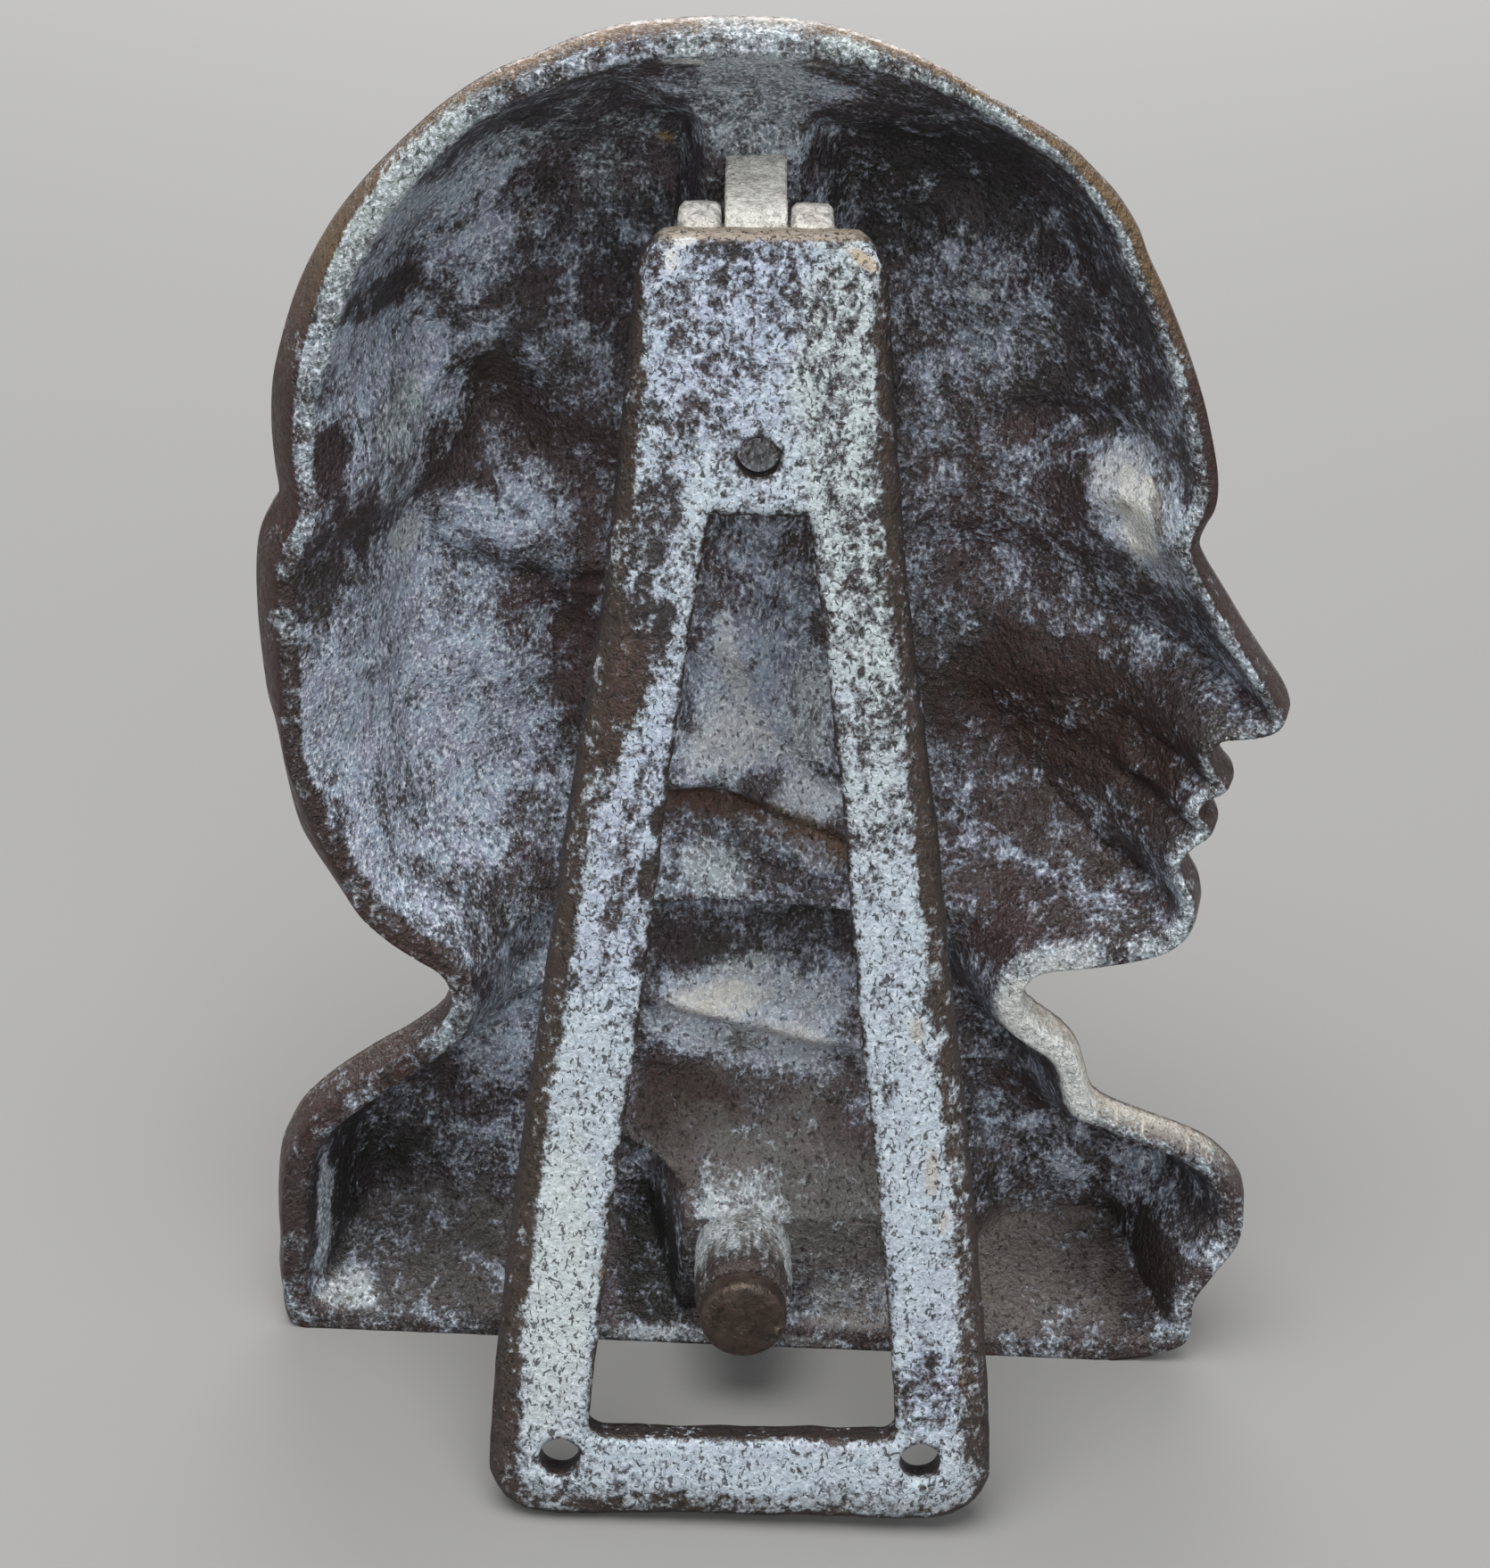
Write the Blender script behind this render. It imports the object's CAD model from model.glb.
# Looks for the bust door knocker: fine casting, plate, stud and pin over the CAD frame, with their patina.
import math
import bpy
import bmesh
import numpy as np
from mathutils import Matrix, Vector
from mathutils.geometry import delaunay_2d_cdt


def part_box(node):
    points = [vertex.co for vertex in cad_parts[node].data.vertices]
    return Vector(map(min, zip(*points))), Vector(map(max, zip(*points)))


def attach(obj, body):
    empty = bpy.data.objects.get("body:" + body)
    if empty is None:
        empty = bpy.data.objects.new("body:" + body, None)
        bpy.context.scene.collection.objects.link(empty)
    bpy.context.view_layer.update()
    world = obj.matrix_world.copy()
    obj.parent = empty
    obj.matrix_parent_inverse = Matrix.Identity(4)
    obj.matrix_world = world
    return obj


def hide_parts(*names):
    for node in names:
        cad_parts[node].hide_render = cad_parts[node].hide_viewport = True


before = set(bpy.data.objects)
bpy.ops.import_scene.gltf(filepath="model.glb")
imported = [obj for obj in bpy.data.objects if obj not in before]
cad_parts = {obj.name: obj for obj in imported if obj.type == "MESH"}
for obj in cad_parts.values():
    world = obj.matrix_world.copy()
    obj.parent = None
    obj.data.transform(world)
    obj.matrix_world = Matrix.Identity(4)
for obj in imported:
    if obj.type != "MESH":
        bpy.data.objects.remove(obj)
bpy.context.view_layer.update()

# ---------------------------------------------------------------- driving sizes, mm, casting coordinates
HX, HY, HZ = -1.9, 2.0, 130.0
OPEN = math.radians(12.2)
SQUARE = math.radians(1.8)
LEAN, LEAN_Z = 0.035, 76.4
EAR_R, EAR_IN, EAR_OUT, TONGUE_HALF, PIN_R = 3.5, 3.4, 7.6, 3.05, 1.3
RIM_W, BASE_W, WALL = 3.2, 2.2, 3.2
HEAD_RISE, COAT_RISE = 21.0, 12.5
BX, BZ, BR, BEND = 2.7, 11.9, 5.15, -9.6
W0, W1, FOOT, HOLE_R = 4.2, 8.5, 133.3, 2.1
PX = HX + 0.6
lo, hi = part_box("hinge_pin")
SHIFT = np.array([(lo[i] + hi[i]) / 2 * 1000 for i in range(3)]) - np.array([HX, HY, HZ])
co, si = math.cos(OPEN), math.sin(OPEN)
gc, gs = math.cos(SQUARE), math.sin(SQUARE)

BACK = [[1.5, 151.8], [-2.8, 151.8], [-7.1, 151.6], [-11.2, 151.2], [-15.5, 150.5], [-19.7, 149.1], [-23.9, 147.1], [-28.2, 145],
    [-32.5, 141.9], [-36, 138.5], [-39.4, 134.7], [-41.2, 132.4], [-43.3, 129.3], [-45.4, 125.3], [-47.2, 120.9],
    [-48.5, 116.2], [-49.4, 111.5], [-49.5, 106.6], [-49.1, 102.2], [-48.7, 99.3], [-49.4, 97.7], [-50.3, 95.7],
    [-50.8, 93.8], [-51, 90.2], [-50.8, 85.2], [-50.3, 80.1], [-49.73, 76.01], [-48.8, 72.44], [-47.86, 67.25],
    [-46.59, 61.83], [-45.12, 58.52], [-42.72, 54.72], [-40.32, 51.62], [-37.45, 49.36], [-34.04, 47.15], [-31.38, 45.45],
    [-30.3, 43.3], [-30.3, 41.1], [-31.4, 39.1], [-34.3, 36.5], [-38, 33.9], [-41.8, 30.9], [-44.6, 28.1], [-46.1, 26.1],
    [-47.1, 23.9], [-48.1, 21], [-48.4, 17], [-48.4, 13], [-48.2, 9], [-48.3, 6], [-48, 3.6], [-47.6, 1.7], [-46.6, 0.5],
    [-45.1, 0]]
FRONT = [[44.1, 0], [48.6, 0.6], [51.8, 1.9], [52.8, 3.6], [52.8, 7], [52.9, 8.2], [53.5, 9.5], [55.2, 12.5], [56.8, 15.4],
    [57.3, 18.6], [56.9, 21.4], [55.9, 23.2], [54.5, 24.9], [52.4, 26.6], [49.4, 28], [45.5, 29.4], [41.5, 31],
    [39.4, 32.6], [38.5, 35.1], [37.5, 37.9], [36, 40], [34.1, 41.5], [32.5, 42.7], [31.3, 44.1], [31, 46.1], [31.9, 48]]
FACE = [[33.9, 48.8], [37.9, 49.4], [42.3, 50.3], [45.9, 51.6], [48.2, 53.8], [49, 56.6], [48.6, 59.2], [47.4, 61.4], [47, 62.8],
    [47.9, 64.2], [49.4, 65.5], [49.9, 67], [49, 68.6], [48.2, 69.2], [49.3, 70], [50.9, 71.2], [50.9, 72.6], [49.6, 74.2],
    [48.9, 75.8], [49.6, 76.6], [52.2, 76.9], [54.9, 77.9], [56.1, 79.9], [55.3, 82.2], [52.9, 85.6], [50.3, 89.4],
    [47.8, 93.4], [45.6, 97], [44.7, 99.2], [45, 101.2], [45.8, 103.6], [45.8, 106.6], [45, 110.4], [43.6, 115],
    [41.4, 120.5], [38.9, 125.9], [36.9, 129.7], [35.6, 132.7], [33.3, 136.1], [30.8, 138.7], [28, 141.2], [23.5, 143.9],
    [19, 146.3], [14.6, 148.6], [10.2, 150.2], [5.9, 151.3]]
OUTLINE = BACK + FRONT + FACE
BASE_FROM = len(BACK) - 1


# ---------------------------------------------------------------- fields
def step(a, b, v):
    t = np.clip((v - a) / (b - a), 0, 1)
    return t * t * (3 - 2 * t)


def smin(a, b, k):
    h = np.clip(0.5 + 0.5 * (b - a) / k, 0, 1)
    return b + (a - b) * h - k * h * (1 - h)


def line_dist(x, z, pts, along=False):
    best = np.full(np.shape(x), 1e9)
    at = np.zeros(np.shape(x))
    gone = 0.0
    for (ax, az), (bx, bz) in zip(pts[:-1], pts[1:]):
        ux, uz = bx - ax, bz - az
        n = ux * ux + uz * uz
        if n < 1e-12:
            continue
        t = np.clip(((x - ax) * ux + (z - az) * uz) / n, 0, 1)
        d = np.hypot(x - ax - t * ux, z - az - t * uz)
        if along:
            m = d < best
            at = np.where(m, gone + t * math.sqrt(n), at)
            gone += math.sqrt(n)
        best = np.minimum(best, d)
    return (best, at / max(gone, 1e-9)) if along else best


def inside(x, z, poly):
    c = np.zeros(np.shape(x), bool)
    p = np.asarray(poly, float)
    q = np.roll(p, 1, axis=0)
    for (xi, zi), (xj, zj) in zip(p, q):
        if zi != zj:
            c ^= ((zi > z) != (zj > z)) & (x < (xj - xi) * (z - zi) / (zj - zi) + xi)
    return c


def signed(x, z, poly):
    d = line_dist(x, z, list(poly) + [poly[0]])
    return np.where(inside(x, z, poly), d, -d)


def blob(x, z, cx, cz, rx, rz, turn=0.0):
    c, s = math.cos(turn), math.sin(turn)
    dx, dz = x - cx, z - cz
    q = ((dx * c + dz * s) / rx) ** 2 + ((-dx * s + dz * c) / rz) ** 2
    return np.where(q >= 1, 0, (1 - np.minimum(q, 1)) ** 2)


def ridge(x, z, pts, w):
    d = line_dist(x, z, pts) / w
    return np.where(d >= 1, 0, (1 - np.minimum(d, 1) ** 2) ** 2)


def noise(p, seed=1):
    r = np.random.RandomState(seed)
    perm = r.permutation(256)
    perm = np.concatenate([perm, perm, perm])
    g = r.normal(size=(256, 3))
    g /= np.linalg.norm(g, axis=1)[:, None]
    p = np.asarray(p, float) + 1000.0
    i = np.floor(p).astype(np.int64)
    f = p - i
    i &= 255
    u = f * f * f * (f * (f * 6 - 15) + 10)
    out = np.zeros(len(p))
    for a in (0, 1):
        for b in (0, 1):
            for c in (0, 1):
                h = perm[perm[perm[(i[:, 0] + a) & 255] + ((i[:, 1] + b) & 255)] + ((i[:, 2] + c) & 255)]
                v = (g[h] * (f - np.array([a, b, c]))).sum(1)
                w = (u[:, 0] if a else 1 - u[:, 0]) * (u[:, 1] if b else 1 - u[:, 1]) * (u[:, 2] if c else 1 - u[:, 2])
                out += v * w
    return out * 1.6


def fbm(x, z, scale, octaves=4, seed=1, y=0.0, gain=0.5):
    x, z = np.broadcast_arrays(np.asarray(x, float), np.asarray(z, float))
    p = np.stack([x.ravel() / scale, z.ravel() / scale, np.full(x.size, float(y))], 1)
    out, amp, tot = np.zeros(len(p)), 1.0, 0.0
    for k in range(octaves):
        out += amp * noise(p, seed + k)
        tot += amp
        amp *= gain
        p = p * 2.03 + 7.1
    return (out / tot).reshape(x.shape)


# ---------------------------------------------------------------- planar meshes
def resample(line, spacing, closed):
    p = np.array(list(line) + ([line[0]] if closed else []), float)
    seg = np.hypot(*np.diff(p, axis=0).T)
    cum = np.concatenate([[0], np.cumsum(seg)])
    n = max(4, int(round(cum[-1] / spacing)))
    t = np.linspace(0, cum[-1], n + 1)[: n if closed else n + 1]
    return [(float(a), float(b)) for a, b in zip(np.interp(t, cum, p[:, 0]), np.interp(t, cum, p[:, 1]))]


def catmull(pts, per, closed=True, flat=()):
    out, n = [], len(pts)
    for i in range(n if closed else n - 1):
        a, b, c, d = [np.array(pts[(i + k) % n] if closed else pts[min(max(i + k, 0), n - 1)], float) for k in (-1, 0, 1, 2)]
        for k in range(per):
            t = k / per
            if i in flat:
                out.append(b + (c - b) * t)
            else:
                out.append(0.5 * (2 * b + (c - a) * t + (2 * a - 5 * b + 4 * c - d) * t * t + (3 * b - a - 3 * c + d) * t ** 3))
    if not closed:
        out.append(np.array(pts[-1], float))
    return [(float(a), float(b)) for a, b in out]


def triangulate(loops, pts, keep):
    """Triangles over the loops' inside; loops are closed borders, pts loose points, keep(x, z) says what stays."""
    verts, edges = [], []
    for loop in loops:
        at = len(verts)
        verts += [Vector(p) for p in loop]
        edges += [(at + i, at + (i + 1) % len(loop)) for i in range(len(loop))]
    verts += [Vector((float(a), float(b))) for a, b in pts]
    res = delaunay_2d_cdt(verts, edges, [], 0, 1e-5)
    P = np.array([(v[0], v[1]) for v in res[0]])
    T = np.array(res[2], int)
    m = P[T].mean(1)
    T = T[keep(m[:, 0], m[:, 1])]
    a, b, c = P[T[:, 0]], P[T[:, 1]], P[T[:, 2]]
    area = (b[:, 0] - a[:, 0]) * (c[:, 1] - a[:, 1]) - (c[:, 0] - a[:, 0]) * (b[:, 1] - a[:, 1])
    T[area < 0] = T[area < 0][:, ::-1]
    return P, T[np.abs(area) > 1e-7]


def hexes(x0, x1, z0, z1, h):
    i, j = np.meshgrid(np.arange(int((x1 - x0) / h) + 2), np.arange(int((z1 - z0) / (h * 0.866)) + 2))
    return (x0 + (i + (j % 2) * 0.5) * h).ravel(), (z0 + j * h * 0.866).ravel()


def border_edges(T):
    e = np.concatenate([T[:, [0, 1]], T[:, [1, 2]], T[:, [2, 0]]])
    key = e[:, 0].astype(np.int64) * 10 ** 7 + e[:, 1]
    back = e[:, 1].astype(np.int64) * 10 ** 7 + e[:, 0]
    return e[~np.isin(key, back)]


def snap(x, z, f, level, reach):
    """Moves points that lie within reach of the line f = level onto it."""
    e = 0.05
    v = f(x, z) - level
    gx, gz = (f(x + e, z) - f(x - e, z)) / (2 * e), (f(x, z + e) - f(x, z - e)) / (2 * e)
    n = gx * gx + gz * gz
    m = (np.abs(v) < reach * np.sqrt(np.maximum(n, 1e-6))) & (n > 0.1)
    return np.where(m, x - v * gx / np.maximum(n, 0.1), x), np.where(m, z - v * gz / np.maximum(n, 0.1), z)


def square(P):
    """Turns pin-square pieces about the pin's middle in the plane of the rim."""
    Q = np.array(P, float)
    dx, dz = Q[:, 0] - HX, Q[:, 2] - HZ
    Q[:, 0], Q[:, 2] = HX + dx * gc - dz * gs, HZ + dx * gs + dz * gc
    return Q


def make(name, V, T, attrs=None, smooth=True):
    V = (np.asarray(V, float) + SHIFT) / 1000
    T = np.asarray(T, np.int32)
    me = bpy.data.meshes.new(name)
    me.vertices.add(len(V))
    me.vertices.foreach_set("co", V.astype(np.float32).ravel())
    me.loops.add(len(T) * 3)
    me.loops.foreach_set("vertex_index", T.ravel())
    me.polygons.add(len(T))
    me.polygons.foreach_set("loop_start", np.arange(0, len(T) * 3, 3, dtype=np.int32))
    me.polygons.foreach_set("use_smooth", np.full(len(T), smooth))
    me.update(calc_edges=True)
    me.validate()
    for k, v in (attrs or {}).items():
        a = me.attributes.new(k, "FLOAT", "POINT")
        a.data.foreach_set("value", np.asarray(v, np.float32))
    ob = bpy.data.objects.new(name, me)
    bpy.context.scene.collection.objects.link(ob)
    return ob


class Body:
    """Collects closed pieces that become one mesh."""

    def __init__(self):
        self.V, self.T, self.n, self.tag = [], [], 0, []

    def add(self, V, T, tag):
        V = np.asarray(V, float)
        self.V.append(V)
        self.T.append(np.asarray(T, int) + self.n)
        self.tag.append(np.full(len(V), tag))
        self.n += len(V)

    def out(self):
        return np.concatenate(self.V), np.concatenate(self.T), np.concatenate(self.tag)


def lathe(profile, n, place, wob=None):
    """profile [(radius, height)], closed at both ends on the axis."""
    V, T = [], []
    t = np.linspace(0, 2 * math.pi, n, endpoint=False)
    for r, h in profile:
        V.append(np.stack([r * np.cos(t), np.full(n, h), r * np.sin(t)], 1))
    V = np.concatenate(V)
    m = len(profile)
    for k in range(m - 1):
        for i in range(n):
            j = (i + 1) % n
            a, b, c, d = k * n + i, k * n + j, (k + 1) * n + j, (k + 1) * n + i
            T += [(a, b, c), (a, c, d)]
    V = np.concatenate([V, [[0, profile[0][1], 0], [0, profile[-1][1], 0]]])
    for i in range(n):
        j = (i + 1) % n
        T += [(m * n, j, i), (m * n + 1, (m - 1) * n + i, (m - 1) * n + j)]
    if wob is not None:
        V = wob(V)
    return outward(place(V), T)


def outward(V, T):
    V, T = np.asarray(V, float), np.asarray(T, int)
    c = V.mean(0)
    a, b, d = V[T[:, 0]] - c, V[T[:, 1]] - c, V[T[:, 2]] - c
    if (np.cross(a, b) * d).sum() < 0:
        T = T[:, ::-1]
    return V, T


def bar(profile, x0, x1, bevel, place, rough=0.0, seed=3, cell=0.8):
    """A rounded bar: profile [(a, b)] drawn from x0 to x1, its edges bevelled, its faces cut fine."""
    bm = bmesh.new()
    lo_ = [bm.verts.new((x0, a, b)) for a, b in profile]
    hi_ = [bm.verts.new((x1, a, b)) for a, b in profile]
    n = len(profile)
    bm.faces.new(lo_)
    bm.faces.new(hi_[::-1])
    for i in range(n):
        j = (i + 1) % n
        bm.faces.new((lo_[i], hi_[i], hi_[j], lo_[j]))
    bmesh.ops.recalc_face_normals(bm, faces=bm.faces)
    if bevel > 0:
        ed = [e for e in bm.edges if len(e.link_faces) == 2 and e.calc_face_angle(0) > 0.5]
        bmesh.ops.bevel(bm, geom=ed, offset=bevel, segments=3, profile=0.6, affect="EDGES", clamp_overlap=True)
    bmesh.ops.triangulate(bm, faces=bm.faces)
    for _ in range(7):
        long = [e for e in bm.edges if e.calc_length() > cell]
        if not long:
            break
        bmesh.ops.subdivide_edges(bm, edges=long, cuts=1)
        bmesh.ops.triangulate(bm, faces=bm.faces)
    bm.normal_update()
    bm.verts.index_update()
    V = np.array([v.co[:] for v in bm.verts])
    N = np.array([v.normal[:] for v in bm.verts])
    T = np.array([[v.index for v in f.verts] for f in bm.faces])
    bm.free()
    if rough > 0:
        k = noise(V / 1.7, seed) * 0.7 + noise(V / 0.8, seed + 1) * 0.3
        V = V + N * (k * rough)[:, None]
    return outward(place(V), T)


# ---------------------------------------------------------------- the relief
HAIR = [[39, 133], [36.5, 127.5], [29, 122], [23, 115], [17, 108], [11.5, 100], [9.5, 92], [9, 85], [6, 84],
        [4.5, 92], [0, 98.5], [-6, 97], [-9, 90], [-7.5, 80], [-5, 73], [-9, 64], [-14, 54], [-20, 46], [-30, 40],
        [-60, 44], [-60, 160], [30, 160]]
JAW = [[60, 47], [44, 49.5], [34, 52], [23, 56.5], [13, 63], [6, 72], [3, 80], [3, 90], [60, 90]]
COLLAR = [[32, 43.8], [24, 46.5], [12, 49.5], [-2, 50.5], [-16, 48.6], [-34, 42.5], [-60, 45], [-60, -9], [70, -9], [70, 40]]
COLLAR_FOLD = [[39, 33.5], [24, 30.5], [8, 32.5], [-8, 36.5], [-22, 38], [-36, 34]]
LAPEL = [[40, 32], [57, 24], [57, 16], [50, 9], [30, 3], [14, -9], [-9, -9], [6, 16], [20, 30]]

smooth_line = catmull(OUTLINE, 6, True, (BASE_FROM - 1, BASE_FROM, BASE_FROM + 1))
i0 = (BASE_FROM + 1) * 6
upper = smooth_line[i0:] + smooth_line[: BASE_FROM * 6 + 1]
upper_r = resample(upper, 0.9, False)


def edge_dist(x, z):
    return line_dist(x, z, upper_r)


def front(px, z, d, fine=True):
    x = px + LEAN * (z - LEAN_Z)
    cut = signed(x, z, COLLAR)
    coat = step(-0.6, 1.2, cut)
    head = 1 - step(-11, 5, cut)
    rise = HEAD_RISE * (1 - (1 - np.clip(d / 27, 0, 1)) ** 2.3) * head + COAT_RISE * (1 - (1 - np.clip(d / 13, 0, 1)) ** 2.2) * (1 - head)
    y = 3.2 - 1.4 * step(120, 146, z) + rise
    soft = step(0.5, 5, d)
    sh = signed(x, z, HAIR)
    hair = step(-1.2, 1.8, sh)
    jaw = step(-4, 1.5, signed(x, z, JAW)) * (1 - hair) * (1 - coat)
    y = y - 5.2 * (1 - jaw) * (1 - coat) * (1 - 0.9 * hair) * step(2, 12, d) * (1 - step(72, 100, z))
    if not fine:
        flow = 0.62 * (z - 100) + 0.42 * x + 5 * np.sin(x / 17 + 0.4) + 3 * np.sin(z / 13)
        y = y + hair * soft * (1.6 + 0.9 * np.sin(flow / 2.4))
    else:
        # locks that follow arcs from the brow over the crown and down to the nape, curling at their ends
        wx = fbm(x, z, 15, 2, 41) * 3.2
        wz = fbm(x, z, 15, 2, 47) * 3.2
        rho = np.hypot(x + 4 + wx, (z - 84 + wz) * 0.94)
        th = np.arctan2(z - 84, x + 4)
        u = rho + 2.6 * np.sin(3.0 * th + rho / 5.5)
        lock = np.abs(((u / 4.6) % 1) - 0.5) * 2
        group = 1 - lock ** 2.4
        strand = 0.5 + 0.5 * np.cos(u * 2 * math.pi / 1.15 + 2 * fbm(x, z, 5, 2, 53))
        hairy = 1.9 * group + 0.34 * strand
        for cx, cz, r, t in ((-38, 84, 9, 1), (-40, 67, 8, -1), (-30, 55, 7.5, 1), (-27, 104, 10, 1), (-19, 72, 8, -1), (-24, 88, 8, 1)):
            q = np.hypot(x - cx, z - cz) / r
            a = np.arctan2(z - cz, x - cx) * t
            w = np.clip(1 - q * q, 0, 1) ** 1.2
            spiral = 0.5 + 0.5 * np.cos(a + q * 7.5)
            hairy = hairy * (1 - w) + w * (1.1 + 1.9 * spiral + 0.25 * np.cos(a * 3 + q * 24))
        y = y + hair * soft * (0.5 + hairy) + hair * soft * 0.35 * fbm(x, z, 3, 2, 59)
    bare = (1 - hair) * (1 - coat)
    y = y + 2.6 * blob(x, z, 0.5, 90, 7, 11.5, 0.2) - 2.1 * blob(x, z, 1.6, 90.5, 3.6, 6.6, 0.2)
    y = y + bare * (1.5 * ridge(x, z, [[45, 104.2], [38, 106.2], [29, 103.8]], 4)
                    - 3.2 * blob(x, z, 38.4, 98.4, 7.6, 5.6) + 2.5 * blob(x, z, 38.6, 97.6, 4.4, 3.6)
                    + 2.0 * blob(x, z, 26, 88, 13, 9) - 1.4 * blob(x, z, 31, 75, 9, 9)
                    + 1.9 * blob(x, z, 48.4, 79.8, 4.8, 4.2) - 1.3 * ridge(x, z, [[50, 69.2], [40.4, 68.8]], 1.9)
                    + 1.2 * ridge(x, z, [[48.8, 71.9], [41.8, 70.9]], 2.3) + 1.3 * ridge(x, z, [[47.8, 66.3], [42, 67]], 2.4)
                    - 1.0 * ridge(x, z, [[46.4, 62.6], [41, 63]], 2.6) + 1.8 * blob(x, z, 44, 56.6, 6.4, 6))
    if fine:
        y = y + bare * soft * (0.95 * ridge(x, z, [[43.4, 98.6], [40.6, 100.6], [37.4, 100.4], [34.2, 98.2]], 1.1)
                               + 0.65 * ridge(x, z, [[42.6, 96.2], [39.6, 95.2], [35.6, 96.4]], 0.9)
                               + 0.5 * blob(x, z, 40.4, 98.0, 2.4, 1.9) - 0.55 * ridge(x, z, [[43.2, 97.2], [40.2, 96.4], [35.6, 97.4]], 0.45) - 0.6 * ridge(x, z, [[44, 101.4], [40, 102.2], [34, 100.2]], 0.9)
                               + 0.5 * ridge(x, z, [[43, 105.6], [38, 107.4], [29, 104.6]], 1.6) * (1 + 0.5 * np.sin(x * 5))
                               - 1.1 * blob(x, z, 50.2, 77.6, 2.0, 1.1, 0.3) - 0.5 * ridge(x, z, [[45.4, 82.5], [44.2, 79.4], [45.6, 76.9]], 1.0))
        ear = [[-4.6, 92], [-4.0, 97.4], [0.2, 100.2], [4.6, 98], [5.4, 93], [3.6, 88], [2.2, 83.6], [-0.6, 81.2], [-2.4, 83.4]]
        y = y + 1.2 * ridge(x, z, catmull(ear, 5, False), 1.5) + 0.8 * ridge(x, z, catmull([[-1.8, 86.5], [-1.6, 92], [1.2, 95.4]], 5, False), 1.2)
        seam = line_dist(x, z, catmull([[24, 30.2], [8, 32], [-8, 36], [-22, 37.6], [-35, 33.6]], 4, False))
        y = y - 0.35 * np.exp(-((seam - 2.6) / 0.35) ** 2) * coat * soft
        for a, b, w, h in (([-30, 30], [-36, 4], 5, 1.0), ([-14, 31], [-19, 2], 6, 0.8), ([-2, 28], [-4, 2], 4.5, -0.7), ([-40, 24], [-43, 5], 3.5, 0.6)):
            y = y + h * ridge(x, z, [a, b], w) * coat * soft
        for k in range(2):
            q = np.hypot(x - (27 + 1.5 * k), z - (13.5 - 9 * k)) / 1.9
            y = y + 0.9 * np.clip(1 - q ** 4, 0, 1) * coat
        y = y + 0.09 * fbm(x, z, 0.9, 3, 61) * soft
    y = y + (1 - coat) * (1 - hair) * 1.5 * ridge(x, z, [[-4, 74], [8, 60], [24, 46]], 4.5) * (1 - jaw)
    y = y + 2.6 * coat * soft * (1 - step(3, 15, cut)) + 1.4 * soft * coat
    y = y - 1.7 * ridge(x, z, COLLAR_FOLD, 2.2) * soft
    y = y + 1.7 * step(-0.5, 0.9, signed(x, z, LAPEL)) * step(1, 5, d) * coat
    return y


def edge_in(px, z):
    x = px + LEAN * (z - LEAN_Z)
    return 0.45 + 2.1 * step(-25, -44, x) * step(47, 60, z) * (1 - 0.75 * np.exp(-((z - 71) / 6) ** 2)) * (1 - step(112, 142, z)) + 0.7 * step(20, 36, x) * step(46, 60, z) \
        + 0.4 * step(-30, -46, x) * (1 - step(30, 47, z))


def nape(x, z):
    return step(-26, -43, x) * step(48, 62, z) * (1 - step(100, 122, z))


def rim_width(x, z):
    w = 2.1 + 0.5 * step(-20, -40, x)
    w = w + (0.9 - w) * step(2, 20, x) * step(50, 62, z)
    w = w + (2.6 - w) * step(22, 25, x) * step(43, 38, x) * step(38, 43, z) * step(60, 54, z)
    return w + (0.9 - w) * step(36, 41, x) * step(46, 40, z) * step(20, 28, z)


def rim_in(x, z, d):
    w = rim_width(x, z)
    wave = (0.35 * fbm(x, z, 9, 2, 71) + 0.2 * fbm(x, z, 2.2, 2, 73)) * (0.35 + 0.28 * w)
    return smin(d - edge_in(x, z) - w + 1.0 * nape(x, z), z - BASE_W, 1.5) + wave


# ups and downs of the hollow's floor: (x, z, rx, rz, turn, height away from the viewer)
HOLLOWS = [(-28.6, 99.3, 8.8, 9.9, -0.35, 2.6),
           (-41.0, 98.8, 5.1, 6.2, -0.35, 1.6),
           (-39.3, 107.4, 6.5, 6.2, -0.0, -1.2),
           (-33.8, 67.6, 12.0, 11.5, -0.0, -1.6),
           (-20.7, 72.7, 5.6, 11.5, -0.17, 1.6),
           (-26.9, 87.0, 10.2, 4.2, -0.14, -1.0),
           (-16.2, 132.9, 10.2, 8.3, -0.0, 1.2),
           (21.8, 120.7, 11.1, 9.4, -0.0, -1.0),
           (1.2, 84.1, 6.5, 7.3, -0.0, -0.8),
           (0.9, 70.9, 7.4, 6.2, -0.0, 1.0),
           (-40.3, 13.1, 6.5, 8.3, -0.0, 1.4),
           (39.1, 17.3, 6.5, 4.2, -0.52, -1.2),
           (46.3, 7.7, 6.5, 5.2, -0.0, 1.2),
           (-35.6, 57.7, 6.5, 6.2, -0.0, -0.8),
           (-27.8, 58.0, 5.6, 6.2, -0.0, 0.8)]
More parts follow.
